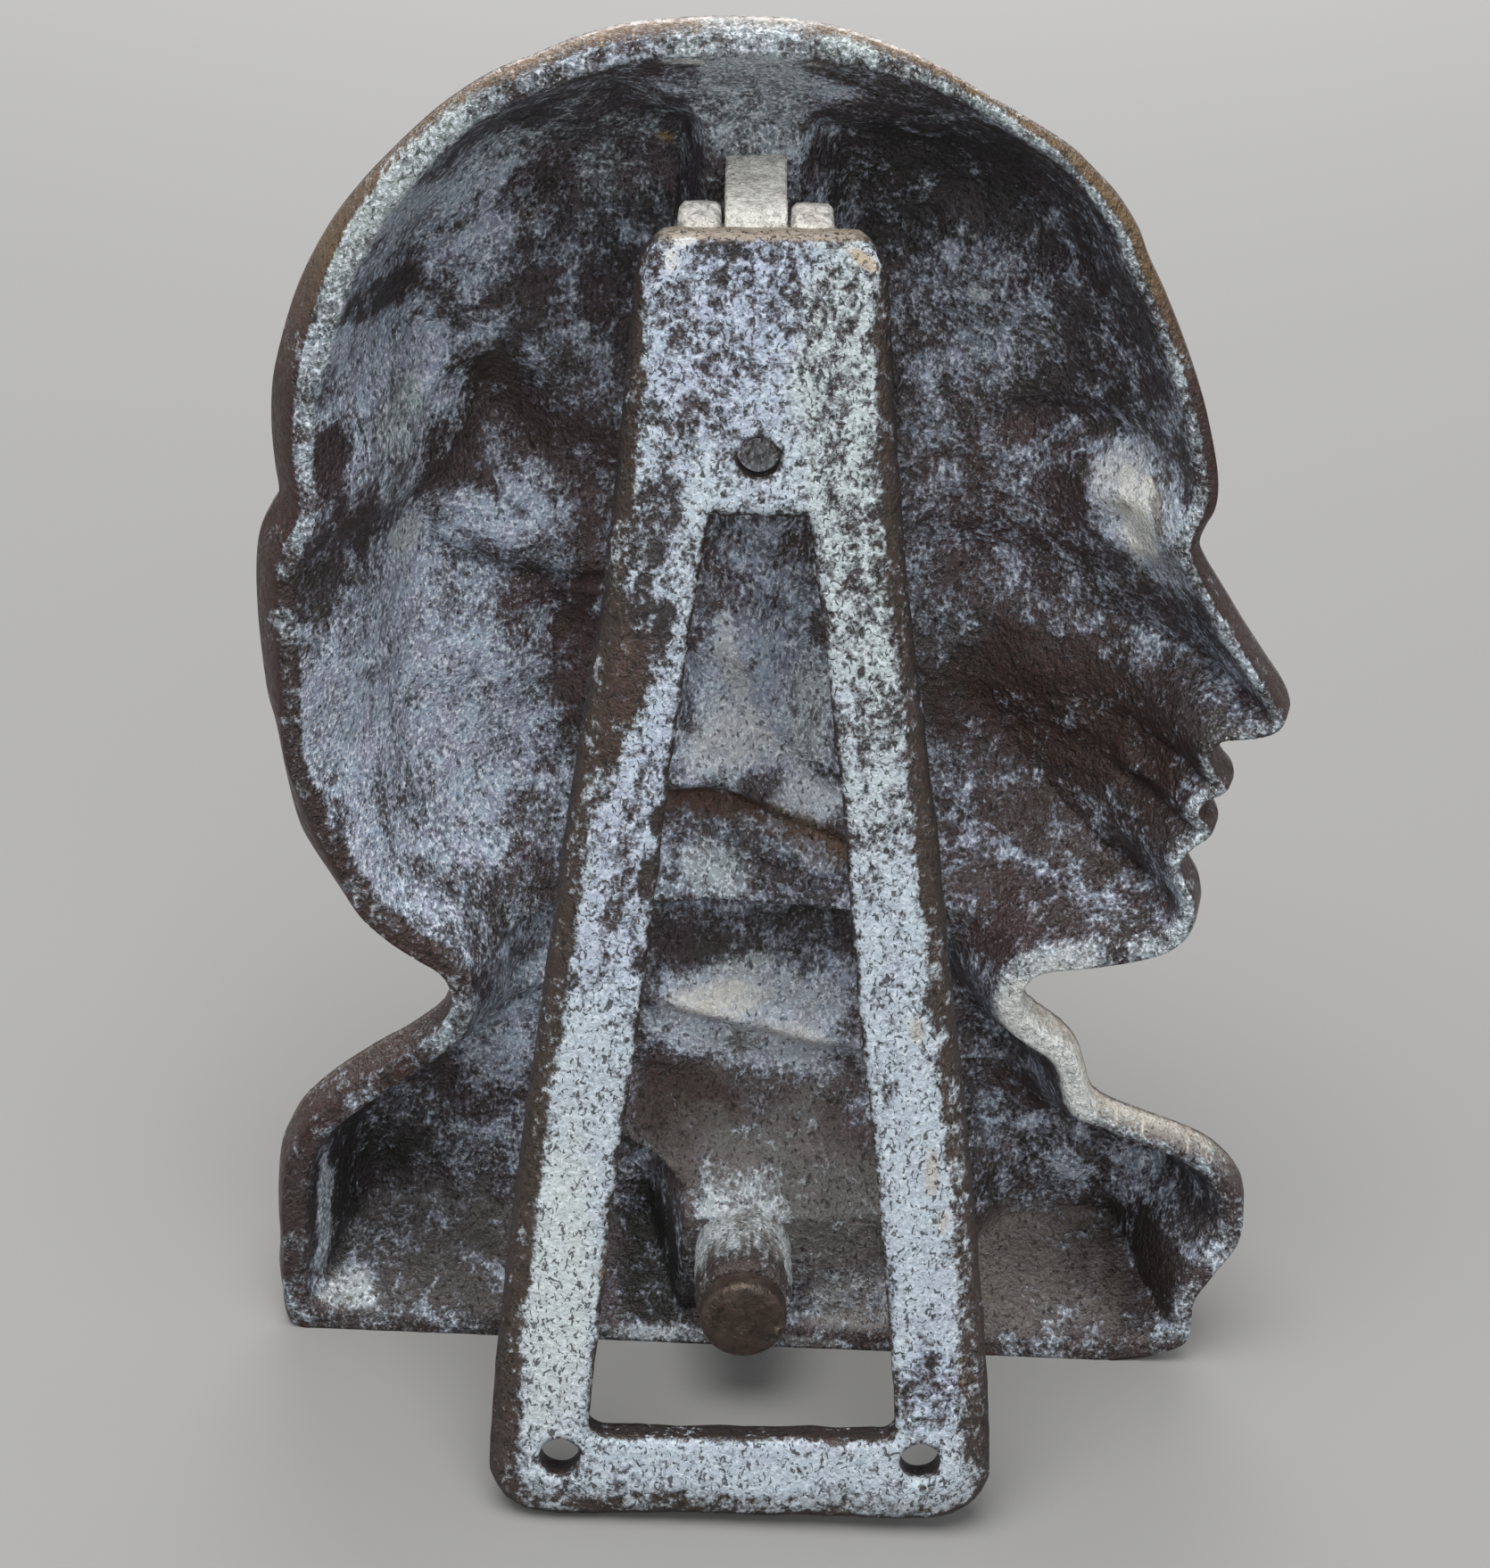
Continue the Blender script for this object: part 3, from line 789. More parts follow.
# ---------------------------------------------------------------- build
CAST_STROKES = [
    (-16.2, 134.2, 13.9, 8.9, 0.17, 0.9, dict(cover=0.22, dark=0.08, warm=0, mint=0.6)),
    (-35.6, 118.2, 15.7, 7.8, 0.87, 0.8, dict(cover=0.5, dark=0.2)),
    (-32.8, 128.3, 10.2, 4.4, 0.66, 0.85, dict(cover=0.72, dark=0.05)),
    (-41.4, 120.4, 5.6, 3.5, 1.05, 0.8, dict(cover=0.4)),
    (-39.3, 107.4, 8.3, 8.9, 0.35, 0.9, dict(cover=0.66, dark=0.1)),
    (-43, 114.4, 3.7, 6.2, -0, 0.7, dict(cover=0.7)),
    (-27.3, 105.2, 10.2, 6.2, 0.17, 0.7, dict(cover=0.22, dark=0.5)),
    (-30.9, 100.6, 6.9, 9.9, -0.44, 0.95, dict(cover=0.08, dark=0.55, warm=0.35)),
    (-23.5, 99, 6.5, 6.2, -0, 0.7, dict(cover=0.16, dark=0.4, warm=0.3)),
    (-41.4, 99.3, 4.2, 4.7, -0.35, 0.7, dict(cover=0.26, dark=0.1, warm=0.35)),
    (-45.5, 106.3, 2, 13.5, -0, 0.8, dict(cover=0.6)),
    (-26.9, 88.1, 11.1, 5, -0.14, 0.85, dict(cover=0.55, dark=0.1)),
    (-20.8, 91.3, 4.6, 6.2, -0, 0.6, dict(cover=0.5)),
    (-38.8, 86.8, 8.3, 4.2, -0, 0.8, dict(cover=0.5, dark=0.2)),
    (-14.6, 87.4, 4.6, 15.6, -0.09, 0.9, dict(cover=0.2, dark=0.1, warm=0.7)),
    (-19.3, 114.6, 8.3, 13.5, -0, 0.7, dict(cover=0.22, dark=0.55)),
    (-34.7, 68.9, 17.6, 19.3, 0.35, 0.95, dict(cover=0.8, dark=0, warm=0)),
    (-40.3, 66.7, 7.4, 15.6, 0.44, 0.8, dict(cover=0.76, dark=0.1)),
    (-44.7, 91.1, 2.4, 7.8, -0, 0.8, dict(cover=0.2, dark=0.3)),
    (-22.8, 77.5, 7.4, 5.2, -0.35, 0.85, dict(cover=0.34, warm=0.45, dark=0.3)),
    (-17.9, 73.5, 4.2, 11.5, -0.14, 0.95, dict(cover=0.14, warm=0.6, dark=0.45)),
    (-35.1, 60.3, 6.5, 5.7, -0, 0.7, dict(cover=0.5, dark=0.15)),
    (-27.6, 62.6, 6.9, 15.6, -0, 0.7, dict(cover=0.72)),
    (-30.5, 49.4, 5.6, 6.2, -0.52, 0.7, dict(cover=0.45, dark=0.2)),
    (-23.1, 31.6, 5.1, 10.4, -0.35, 0.9, dict(cover=0.62, dark=0)),
    (-24.7, 15.3, 8.3, 6.2, 0.26, 0.8, dict(cover=0.5, dark=0.1)),
    (-22.3, 39.8, 4.6, 6.2, -0, 0.8, dict(cover=0.6, dark=0)),
    (-40.3, 13.1, 6.9, 11.5, -0, 0.95, dict(cover=0.15, dark=0.75, warm=0)),
    (-27.2, 5.5, 13.9, 6.2, -0, 0.7, dict(cover=0.16, dark=0.6, dust=0.12)),
    (1.2, 84.1, 7.4, 7.8, -0, 0.9, dict(cover=0.47, warm=0.38, dark=0)),
    (1.4, 71, 8.8, 8.9, -0, 0.95, dict(cover=0.92, warm=0.1, dark=0)),
    (-1.3, 66.8, 5.6, 4.2, -0.17, 0.8, dict(cover=1, dust=0.5)),
    (-1.5, 75, 1.4, 6.5, 0.28, 0.9, dict(cover=1, dust=0.5)),
    (6.7, 69.3, 2.8, 6.2, -0, 0.8, dict(cover=0.5, dark=0.1, mint=0.7, dust=0.1)),
    (7.2, 60.5, 3.9, 2.3, -0.26, 0.95, dict(cover=0.95, dust=0.3, warm=0)),
    (-2.5, 53.7, 3.9, 2.3, -0, 0.9, dict(cover=0.9, dust=0.1)),
    (0.3, 74.4, 4.2, 7.8, -0.52, 0.8, dict(cover=0.84, warm=0.1)),
    (-2.8, 59.9, 9.3, 2, -0.14, 0.95, dict(cover=0.03, warm=1, tan=0.1, dark=0.15)),
    (6.9, 56.7, 6.9, 2, -0.42, 0.95, dict(cover=0.06, warm=1, tan=0.14, dark=0.1)),
    (2.4, 50.9, 12, 6.5, -0.09, 0.95, dict(cover=0.42, warm=0, dark=0.5)),
    (-2, 52.7, 3.7, 2.7, -0, 0.8, dict(cover=0.62, dark=0.2, mint=0.6)),
    (-2, 41.7, 7.4, 2.3, -0.14, 0.8, dict(cover=0.1, dark=0.5, mint=0.8)),
    (7.8, 40.8, 5.6, 3.1, -0.17, 0.8, dict(cover=0.5, dark=0.4)),
    (3.3, 33.5, 12, 6.5, -0.1, 0.98, dict(cover=1, warm=0, dark=0, dust=0.2)),
    (-1.7, 36.2, 5.6, 1.9, 0.1, 0.9, dict(cover=1, dust=0.85)),
    (7.2, 32.5, 5.6, 1.5, -0.17, 0.9, dict(cover=1, dust=0.65)),
    (-4.1, 23.9, 7.4, 4.4, -0.17, 0.95, dict(cover=0, warm=0.5, dark=1)),
    (8.8, 22.8, 7.4, 4.6, -0, 0.9, dict(cover=0.28, warm=0.35, dark=0.3)),
    (-6.7, 13.8, 5.6, 4.7, 0.35, 0.8, dict(cover=0.4, dark=0.35)),
    (9.4, 12.3, 8.3, 5.2, -0, 0.8, dict(cover=0.2, warm=0.35, dark=0.3, dust=0.2)),
    (3.1, 17, 15.7, 7.3, -0, 0.9, dict(cover=0.16, dark=0.75, dust=0.08, warm=0.1)),
    (-1.8, 16.4, 5.6, 3.5, -0.35, 0.95, dict(cover=0.05, warm=0.8, dark=0.4)),
    (3.6, 17, 5.6, 2.1, -0, 0.8, dict(cover=0.3, dark=0.4)),
    (0.1, 96.4, 3.1, 3.5, -0, 1, dict(cover=0.75, warm=0.8, dark=0, tan=0.25)),
    (4.1, 17.1, 9.3, 6.2, -0, 0.9, dict(cover=0.2, warm=0.1, dark=0.3)),
    (10.8, 21.6, 5.6, 3.1, -0.17, 0.8, dict(cover=0.15, warm=0.5, dark=0.3)),
    (3, 20.1, 5.6, 3.1, -0, 0.6, dict(cover=0.4, warm=0.1, dark=0.2)),
    (-6.7, 5, 4.6, 10.4, -0, 0.95, dict(cover=0.1, dark=1, warm=0, dust=0)),
    (7.1, 14.9, 12, 9.4, -0, 0.9, dict(cover=0.16, dark=0.4, warm=0, dust=0.12, mint=0.8)),
    (15.7, 4.9, 6.5, 6.2, -0, 0.8, dict(cover=0.34, dark=0.05, warm=0, dust=0.28)),
    (1.9, 17.2, 5.1, 2.7, -0, 0.8, dict(cover=0.62, dust=0.2, dark=0.1, mint=0.4)),
    (-7.6, 24, 2.2, 2.9, -0, 0.95, dict(cover=0, warm=0.4, dark=0.9)),
    (1.5, 30.7, 2, 2.1, -0, 0.8, dict(cover=0.35, mint=0.8, dark=0.5)),
    (-8.7, 14.9, 3.7, 2.7, -0.35, 0.8, dict(cover=0.42, dark=0.2, warm=0)),
    (-31.8, 3.7, 10.2, 4.7, -0, 0.85, dict(cover=0.2, dark=0.65, dust=0.05)),
    (-43.4, 11.8, 0.8, 10.4, -0, 1, dict(cover=0.85, mint=0.5, dark=0)),
    (-40.7, 3.1, 3.7, 1.6, -0, 0.9, dict(cover=0.75, mint=0.5, dust=0.25)),
    (-11.2, 133.3, 1, 0.7, -0.35, 1, dict(cover=0, dark=0, tan=0.8)),
    (-23.4, 98, 7.9, 7.3, -0, 0.85, dict(cover=0.12, dark=0.45, warm=0.35)),
    (-36.3, 130.4, 3.7, 2.3, 0.61, 0.9, dict(cover=0.95, mint=0.2, dark=0)),
    (-31.1, 128.6, 5.6, 1.7, 0.44, 0.8, dict(cover=0.8, mint=0.1, dark=0)),
    (-29.4, 122, 5.6, 2.5, 0.26, 0.8, dict(cover=0.62, dark=0)),
    (-38.8, 118.6, 5.1, 2.3, -0.35, 0.9, dict(cover=0.08, dark=0.5, warm=0.2)),
    (-42.5, 115.5, 1.5, 2.9, -0, 0.9, dict(cover=0.85, dark=0)),
    (-36.9, 108.7, 3.9, 4.8, -0, 0.85, dict(cover=0.86, dark=0)),
    (-37.4, 104.2, 2.4, 3.5, -0, 0.85, dict(cover=0.5, mint=0.9, dark=0.2)),
    (-42.4, 109.4, 3.1, 1.5, -0, 0.8, dict(cover=0.7, dark=0)),
    (-43.3, 103.9, 2, 4.2, -0, 0.9, dict(cover=0.06, dark=0.5, warm=0.2)),
    (-39.6, 94.3, 2.8, 3.5, -0, 0.9, dict(cover=0.05, dark=0.4, warm=0.4)),
    (-37, 97.6, 2.2, 6.2, -0.17, 0.8, dict(cover=0.6, mint=0.5, dark=0.1)),
    (-27.1, 97.3, 3, 3.1, -0, 0.7, dict(cover=0.45, dark=0.2)),
    (-23.3, 93.3, 3.7, 2.7, -0.35, 0.8, dict(cover=0.75, dark=0)),
    (-31.6, 89.8, 7.4, 2.7, -0.17, 0.8, dict(cover=0.7, dark=0)),
    (-17.6, 91.2, 4.3, 7.3, -0, 0.85, dict(cover=0.26, warm=0.6, dark=0)),
    (-36.6, 88.8, 1.3, 2.7, 0.26, 0.9, dict(cover=1, mint=0.7, dust=0.2)),
    (-19.9, 106, 5.6, 5.2, -0, 0.7, dict(cover=0.4, dark=0.15)),
    (-35.4, 103.5, 4.6, 6.2, 0.35, 0.8, dict(cover=0.72, dark=0)),
    (-3.2, 143.6, 15.7, 1.7, -0, 0.9, dict(cover=0.62, mint=0.2, dark=0.3)),
    (-4.3, 148.2, 7.4, 0.7, -0, 0.9, dict(cover=0.8, dust=0.8, mint=0)),
    (-15.2, 131.7, 7.4, 6.2, -0, 0.7, dict(mint=0.6, cover=0.38, dark=0)),
    (8.2, 133.1, 7.4, 9.9, -0, 0.8, dict(cover=0.42, dark=0.05, warm=0)),
    (28.9, 54.3, 13, 6.2, -0, 0.8, dict(cover=0.3, dark=0.4, warm=0.2)),
    (17.4, 130.8, 12, 13.5, 0.52, 0.95, dict(cover=0.1, dark=0.7, warm=0)),
    (27, 122.3, 10.2, 11.5, -0, 0.8, dict(cover=0.2, dark=0.35)),
    (21.3, 115.5, 9.3, 11.5, -0, 0.8, dict(cover=0.44, dark=0)),
    (25.6, 94.5, 11.1, 11.5, -0, 0.9, dict(cover=0.32, warm=0.55, dark=0.15)),
    (34.7, 105.3, 6.5, 9.4, -0, 0.7, dict(cover=0.24, dark=0.5)),
    (33.7, 85.8, 3.1, 6.2, 0.61, 0.9, dict(cover=0.6, warm=0, dark=0.1)),
    (19.4, 89.3, 2.4, 3.1, -0, 0.8, dict(cover=0.5, warm=0.2, dark=0)),
    (26.5, 111.5, 3.3, 2.7, -0.35, 0.8, dict(cover=0.55, warm=0, dark=0.1)),
    (21.5, 118.1, 1.1, 0.8, -0, 0.9, dict(cover=0.9, dust=0.4)),
    (27.2, 49.9, 4.6, 5.2, -0, 0.7, dict(cover=0.4, warm=0.5, dark=0)),
    (39.5, 98.3, 4.8, 8.3, 0.21, 1, dict(cover=1, warm=0, dark=0, dust=0.16)),
    (37.5, 101, 3.3, 3.5, -0, 0.9, dict(cover=0.9, dust=0.55)),
    (39, 97.6, 1.5, 5.4, 0.24, 0.9, dict(cover=1, dust=0.9)),
    (40.4, 101.4, 0.6, 2.9, 0.17, 0.9, dict(cover=0.2, dark=0.4)),
    (38.1, 92.4, 0.8, 1.5, -0, 0.9, dict(cover=0.25, dark=0.4)),
    (37.6, 99.4, 0.7, 1, -0, 0.9, dict(cover=0.3, dark=0.3)),
    (39.6, 102.5, 0.8, 0.8, -0, 0.9, dict(cover=1, dust=1)),
    (36.8, 86.6, 1.9, 6.2, -0.17, 0.8, dict(cover=0.3, dark=0.3)),
    (42.5, 95.8, 1.3, 6.2, 0.17, 0.8, dict(cover=0.4, dark=0.3)),
    (33.7, 86.3, 8.3, 6.2, -0, 0.8, dict(cover=0.4, warm=0.3)),
    (33.8, 71.5, 13.9, 9.9, -0, 0.95, dict(cover=0, warm=0.6, dark=1)),
    (30.8, 56.9, 13.9, 8.3, -0, 0.9, dict(cover=0.28, warm=0.35, dark=0.4)),
    (28.9, 51.2, 5.6, 5.2, -0, 0.8, dict(cover=0.3, warm=0.6, dark=0.3)),
    (39.1, 17.3, 8.8, 7.3, -0.61, 0.9, dict(cover=0.3, warm=0.3, dark=0.2)),
    (38.8, 16.1, 3.3, 2.1, -0.7, 0.95, dict(cover=0.9, warm=0, dark=0)),
    (33.2, 26.3, 3.7, 3.1, -0.7, 0.8, dict(cover=0.1, warm=0.7, dark=0.3)),
    (47.9, 16.6, 5.1, 3.1, -0.61, 0.8, dict(cover=0.6, dark=0.1)),
    (-43.5, 62.4, 3.1, 6.9, 0.38, 0.95, dict(cover=0.36, dark=0.4)),
    (-40.1, 59.2, 2.8, 2.3, -0, 0.7, dict(cover=0.6, dark=0.1)),
    (-2.5, 52.7, 3.1, 2.3, -0, 0.7, dict(cover=0.7, dark=0.1, mint=0.5)),
    (45.4, 7.9, 7.9, 5.2, -0, 0.95, dict(cover=0.03, dark=0.95, warm=0.2)),
    (32.6, 4.8, 11.1, 6.2, -0, 0.9, dict(cover=0.12, dark=0.45, dust=0.14, warm=0.45)),
]
RIM_STROKES = [
    (-23.9, 146.7, 38.9, 34.4, -0, 1, dict(cover=0.74, mint=0.9, dark=0.5, warm=0)),
    (-3.5, 150.4, 14.8, 4.2, -0, 0.9, dict(cover=0.66, mint=0.9, dark=0.4)),
    (-19.7, 147.7, 11.1, 4.2, 0.35, 0.9, dict(cover=0.46, mint=0.15, dark=0.2)),
    (-40, 131.3, 6.5, 7.3, -0, 0.8, dict(cover=0.86, mint=0.8, dark=0.1, dust=0.1)),
    (22.1, 139.9, 20.4, 16.7, -0, 0.9, dict(cover=0.62, mint=0.8, dark=0.4)),
    (37, 118.1, 11.1, 16.7, -0, 0.9, dict(cover=0.5, mint=0.6, dark=0.4)),
    (-46.8, 104.3, 5.6, 16.7, -0, 1, dict(cover=0.6, mint=0.4, dark=0.3)),
    (-46.7, 76.1, 5.6, 19.8, -0, 1, dict(cover=0.14, mint=0.5, dark=0.75, warm=0.4)),
    (-36.3, 53.4, 10.2, 12.5, -0, 1, dict(cover=0.16, mint=0.3, dark=0.6, warm=0.6)),
    (-39.7, 29, 13, 13.5, -0, 1, dict(cover=0.16, mint=0.3, dark=0.6, warm=0.6)),
    (-45.3, 10.4, 4.6, 12.5, -0, 1, dict(cover=0.12, mint=0.3, dark=0.7, warm=0.4)),
    (-19.7, 1.1, 29.6, 4.2, -0, 1, dict(cover=0.3, mint=0.3, dark=0.6, warm=0.2)),
    (1.9, 1, 15.7, 0.9, -0.02, 0.9, dict(cover=0.8, mint=0.3, dark=0.2, dust=0.2)),
    (29.6, 1.1, 25.9, 4.2, -0, 1, dict(cover=0.28, mint=0.3, dark=0.5, warm=0.5)),
    (34.4, 39.4, 10.2, 11.5, -0, 1, dict(cover=1, mint=0.6, dark=0, dust=0.6)),
    (50, 26.6, 10.2, 11.5, -0, 1, dict(cover=0.4, mint=0.5, dark=0.5, warm=0.4)),
    (48.5, 101.1, 10.2, 27.1, -0, 1, dict(cover=0.5, mint=0.55, dark=0.5, warm=0.2)),
    (46.4, 65, 12, 16.7, -0, 1, dict(cover=0.5, mint=0.6, dark=0.4)),
]
PLATE_STROKES = [
    (-1.6, 4.2, 13.8, 6.9, 0, 0.9, dict(cover=0.44, mint=0.05, dark=0.35)),
    (-3.4, 1.6, 6.4, 2.4, 0.17, 0.8, dict(cover=0.3, mint=0, dark=0.5)),
    (3.1, 3.1, 5.5, 2.4, -0.17, 0.8, dict(cover=0.28, mint=0, dark=0.5)),
    (0.2, 8.1, 3.7, 2.5, 0.35, 0.6, dict(cover=0.36, mint=0, dark=0.5)),
    (-5.8, 12.1, 8.3, 10.8, 0, 0.8, dict(cover=0.56, mint=0.05)),
    (6.8, 11.9, 5, 14.7, 0, 0.9, dict(cover=0.6, mint=0.85, dark=0.2)),
    (6.6, 22.5, 4.1, 5.9, 0, 0.9, dict(cover=0.8, mint=0.8, dark=0)),
    (-8.3, 21, 4.6, 6.9, 0, 0.8, dict(cover=0.52, mint=0.2)),
    (-1.2, 21.4, 5.5, 4.9, 0, 0.7, dict(cover=0.6, mint=0.3)),
    (-11.6, 31.8, 5.5, 10.8, 0.09, 0.95, dict(cover=0.36, mint=0.3, dark=0.5)),
    (-7.7, 29.9, 1.7, 10.8, 0.14, 0.9, dict(cover=0.72, mint=0.5)),
    (-15, 46.4, 3.3, 10.8, 0.14, 0.95, dict(cover=0.08, warm=0.7, dark=0.55)),
    (-10.1, 45.4, 1.8, 7.8, 0.14, 0.9, dict(cover=0.62, mint=0.2)),
    (-12.7, 55.5, 4.1, 11.8, 0.14, 0.9, dict(cover=0.68, mint=0.1)),
    (-14.8, 69.6, 4.6, 11.8, 0.1, 0.9, dict(cover=0.74, mint=0.15)),
    (-13.6, 58.3, 1.2, 9.8, 0.12, 0.6, dict(cover=0.25, warm=0.4, dark=0.3)),
    (-15.3, 68.6, 1, 5.9, 0.1, 0.6, dict(cover=0.25, warm=0.3, dark=0.3)),
    (-11.4, 63.4, 1.1, 2.5, 0.1, 0.85, dict(cover=0.1, warm=0.2, dark=0.4)),
    (-10.6, 57.8, 0.8, 2.2, 0.1, 0.85, dict(cover=0.1, warm=0.2, dark=0.4)),
    (-12.8, 71.9, 0.9, 2.2, 0.1, 0.85, dict(cover=0.2, dark=0.4)),
    (-10.2, 37.2, 1.3, 2.9, 0.14, 0.8, dict(cover=0.15, dark=0.5)),
    (-8.8, 57.1, 0.7, 5.9, 0.14, 0.9, dict(cover=1, dust=0.2)),
    (-17.7, 86.7, 4.6, 11.8, 0.09, 0.95, dict(cover=0.8, mint=0.5)),
    (-20.3, 108, 4.6, 17.6, 0.05, 0.95, dict(cover=0.98, mint=0.8, dust=0.1)),
    (8.1, 31.5, 4.6, 11.8, -0.07, 0.95, dict(cover=0.62, mint=0.85)),
    (10.3, 50.6, 4.6, 12.7, -0.07, 0.95, dict(cover=0.6, mint=0.6)),
    (13.1, 71.9, 4.6, 12.7, -0.07, 0.95, dict(cover=0.76, mint=0.4)),
    (16.6, 100.6, 4.6, 18.6, -0.05, 0.95, dict(cover=0.92, mint=0.4)),
    (18, 117.8, 3.3, 4.9, 0, 0.9, dict(cover=0.46, mint=0, dark=0.2)),
    (-1.2, 126.6, 22, 3.9, 0, 0.9, dict(cover=0.86, mint=0.4)),
    (-19.8, 128.5, 5.5, 4.9, 0, 0.7, dict(cover=0.66, mint=0.5)),
    (8.5, 0.7, 2.2, 0.7, 0.66, 1, dict(cover=0.7, dust=0.5, tan=0.7)),
    (-8.9, -1.1, 1.5, 0.8, -0.26, 1, dict(cover=0.9, dust=0.7)),
    (-10.1, 1, 0.8, 1.4, 0, 0.9, dict(cover=0.9, dust=0.6)),
    (15.8, 79.1, 0.8, 1.6, 0, 0.7, dict(tan=0.5)),
    (17.7, 94, 0.8, 2.9, 0, 0.7, dict(tan=0.55)),
    (18.9, 99.6, 0.7, 1.4, 0, 0.8, dict(tan=0.5)),
    (20, 92, 0.8, 4.9, -0.03, 0.8, dict(cover=0.3, tan=0.55, dark=0)),
    (22, 115.4, 0.8, 2.9, 0, 0.9, dict(cover=0.3, tan=0.8, dark=0)),
    (-15.4, 104.9, 0.6, 2.2, 0.09, 0.9, dict(cover=0.3, tan=0.9, dark=0)),
    (10.9, 36.9, 2.8, 12.7, -0.07, 0.8, dict(cover=0.46, mint=0.8, dark=0.3)),
    (-14.2, 41.4, 1.1, 2.9, 0.09, 0.7, dict(cover=0.3, warm=1, dark=0)),
    (7.9, 22.5, 4.6, 6.9, -0.07, 0.8, dict(cover=0.5, mint=0.8, dark=0.3)),
]

def lay(x, z, names, base, strokes, seed):
    out = {k: np.full(len(x), float(base.get(k, 0))) for k in names}
    wob = 0.5 * fbm(x, z, 6, 3, seed) + 0.3 * fbm(x, z, 1.6, 2, seed + 5)
    for cx, cz, rx, rz, t, op, vals in strokes:
        c, s = math.cos(t), math.sin(t)
        dx, dz = x - cx, z - cz
        q = np.sqrt(((dx * c + dz * s) / rx) ** 2 + ((-dx * s + dz * c) / rz) ** 2)
        w = op * step(1.25, 0.55, q + 0.85 * wob)
        for k, v in vals.items():
            out[k] = out[k] + (v - out[k]) * w
    return out


NAMES = ("cover", "warm", "dark", "mint", "dust", "tan")


def paint_casting(V, tag):
    x, y, z = V.T
    d = edge_dist(x, z)
    q = rim_in(x, z, d)
    hollow = lay(x, z, NAMES, dict(cover=.3, warm=.1, dark=.3), CAST_STROKES, 201)
    rim = lay(x, z, NAMES, dict(cover=.4, warm=.2, dark=.4, mint=.4), RIM_STROKES, 211)
    C, fine = front(x, z, d, False), front(x, z, d)
    behind = tag == 0
    on_rim = behind & (q < 0.25)
    out = {}
    f = step(-0.1, 0.5, q)
    for k in NAMES:
        v = rim[k] * (1 - f) + hollow[k] * f
        out[k] = v
    # the relief and the outer edge: worn brown metal with a little verdigris low in the folds
    n1 = fbm(x, z, 11, 3, 221)
    high = step(-0.4, 1.2, fine - C)
    worn = (0.25 + 0.75 * high) * step(0.2, 0.75, 0.5 + 0.7 * n1 + 0.25 * high)
    out_side = {"cover": 0.07 + 0.1 * n1 + 0.12 * (1 - high) * step(40, 8, z), "warm": 0.65 + 0.3 * n1, "dark": 0.6 - 0.4 * high, "mint": 0.7 + 0 * x, "dust": 0.0 * x, "tan": 0.42 * worn}
    edge = behind & (d < edge_in(x, z) - 0.05)
    up = step(95, 140, z)
    chest = step(24, 34, x) * step(22, 30, z) * step(60, 50, z)
    lip = {"cover": 0.03 + 0.1 * n1 + 0.3 * chest, "warm": 0.7 - 0.1 * up, "dark": 0.85 - 0.55 * up, "mint": 0.4 + 0 * x, "dust": 0.7 * chest, "tan": 0.45 * step(112, 132, z) * (0.7 + 0.5 * n1) + 0.2 * chest}
    for k in NAMES:
        out[k] = np.where(edge, lip[k], out[k])
    # block that the tongue grows from, pale blue-grey
    bx, bz = HX + (x - HX) * gc + (z - HZ) * gs, HZ - (x - HX) * gs + (z - HZ) * gc
    blk = step(-6.6, -5.0, bx - HX) * step(6.4, 4.0, bx - HX) * step(133, 136, bz) * (tag == 0) * behind
    for k, v in dict(cover=.62, warm=0, dark=.3, mint=.4, dust=.05).items():
        out[k] = out[k] * (1 - 0.9 * blk) + v * 0.9 * blk
    for k in NAMES:
        out[k] = np.where(tag == 3, out_side[k], out[k])
    # block and tongue under the crown
    t1 = tag == 1
    out_end = step(15.5, 10.5, y + 0.45 * np.clip(133 - z, 0, 20) + 1.5 * fbm(y, z, 2.5, 3, 237))
    vals = dict(cover=.3, warm=.0, dark=.0, mint=.1, dust=1 - .3 * step(134.6, 133.2, z))
    for k in NAMES:
        v = vals.get(k, 0) + 0.1 * fbm(x, z, 2, 2, 231) * (k == "dust")
        out[k] = np.where(t1, out[k] * (1 - out_end) + v * out_end, out[k])
    # boss: pale streaks near its root, dark towards its end
    t2 = tag == 2
    a2 = np.arctan2(z - BZ, x - BX)
    st = fbm(a2 * 6, y / 9, 1.0, 3, 233)
    root = step(-8.2, -3.0, y + 3.0 * st)
    vals = dict(cover=.16 + .42 * root + .7 * st, warm=.5 - .4 * root, dark=.65 - .25 * root, mint=.5 + 0 * x, dust=.05 + .25 * root)
    for k in NAMES:
        out[k] = np.where(t2, vals.get(k, 0), out[k])
    return {k: np.clip(v, 0, 1) for k, v in out.items()}


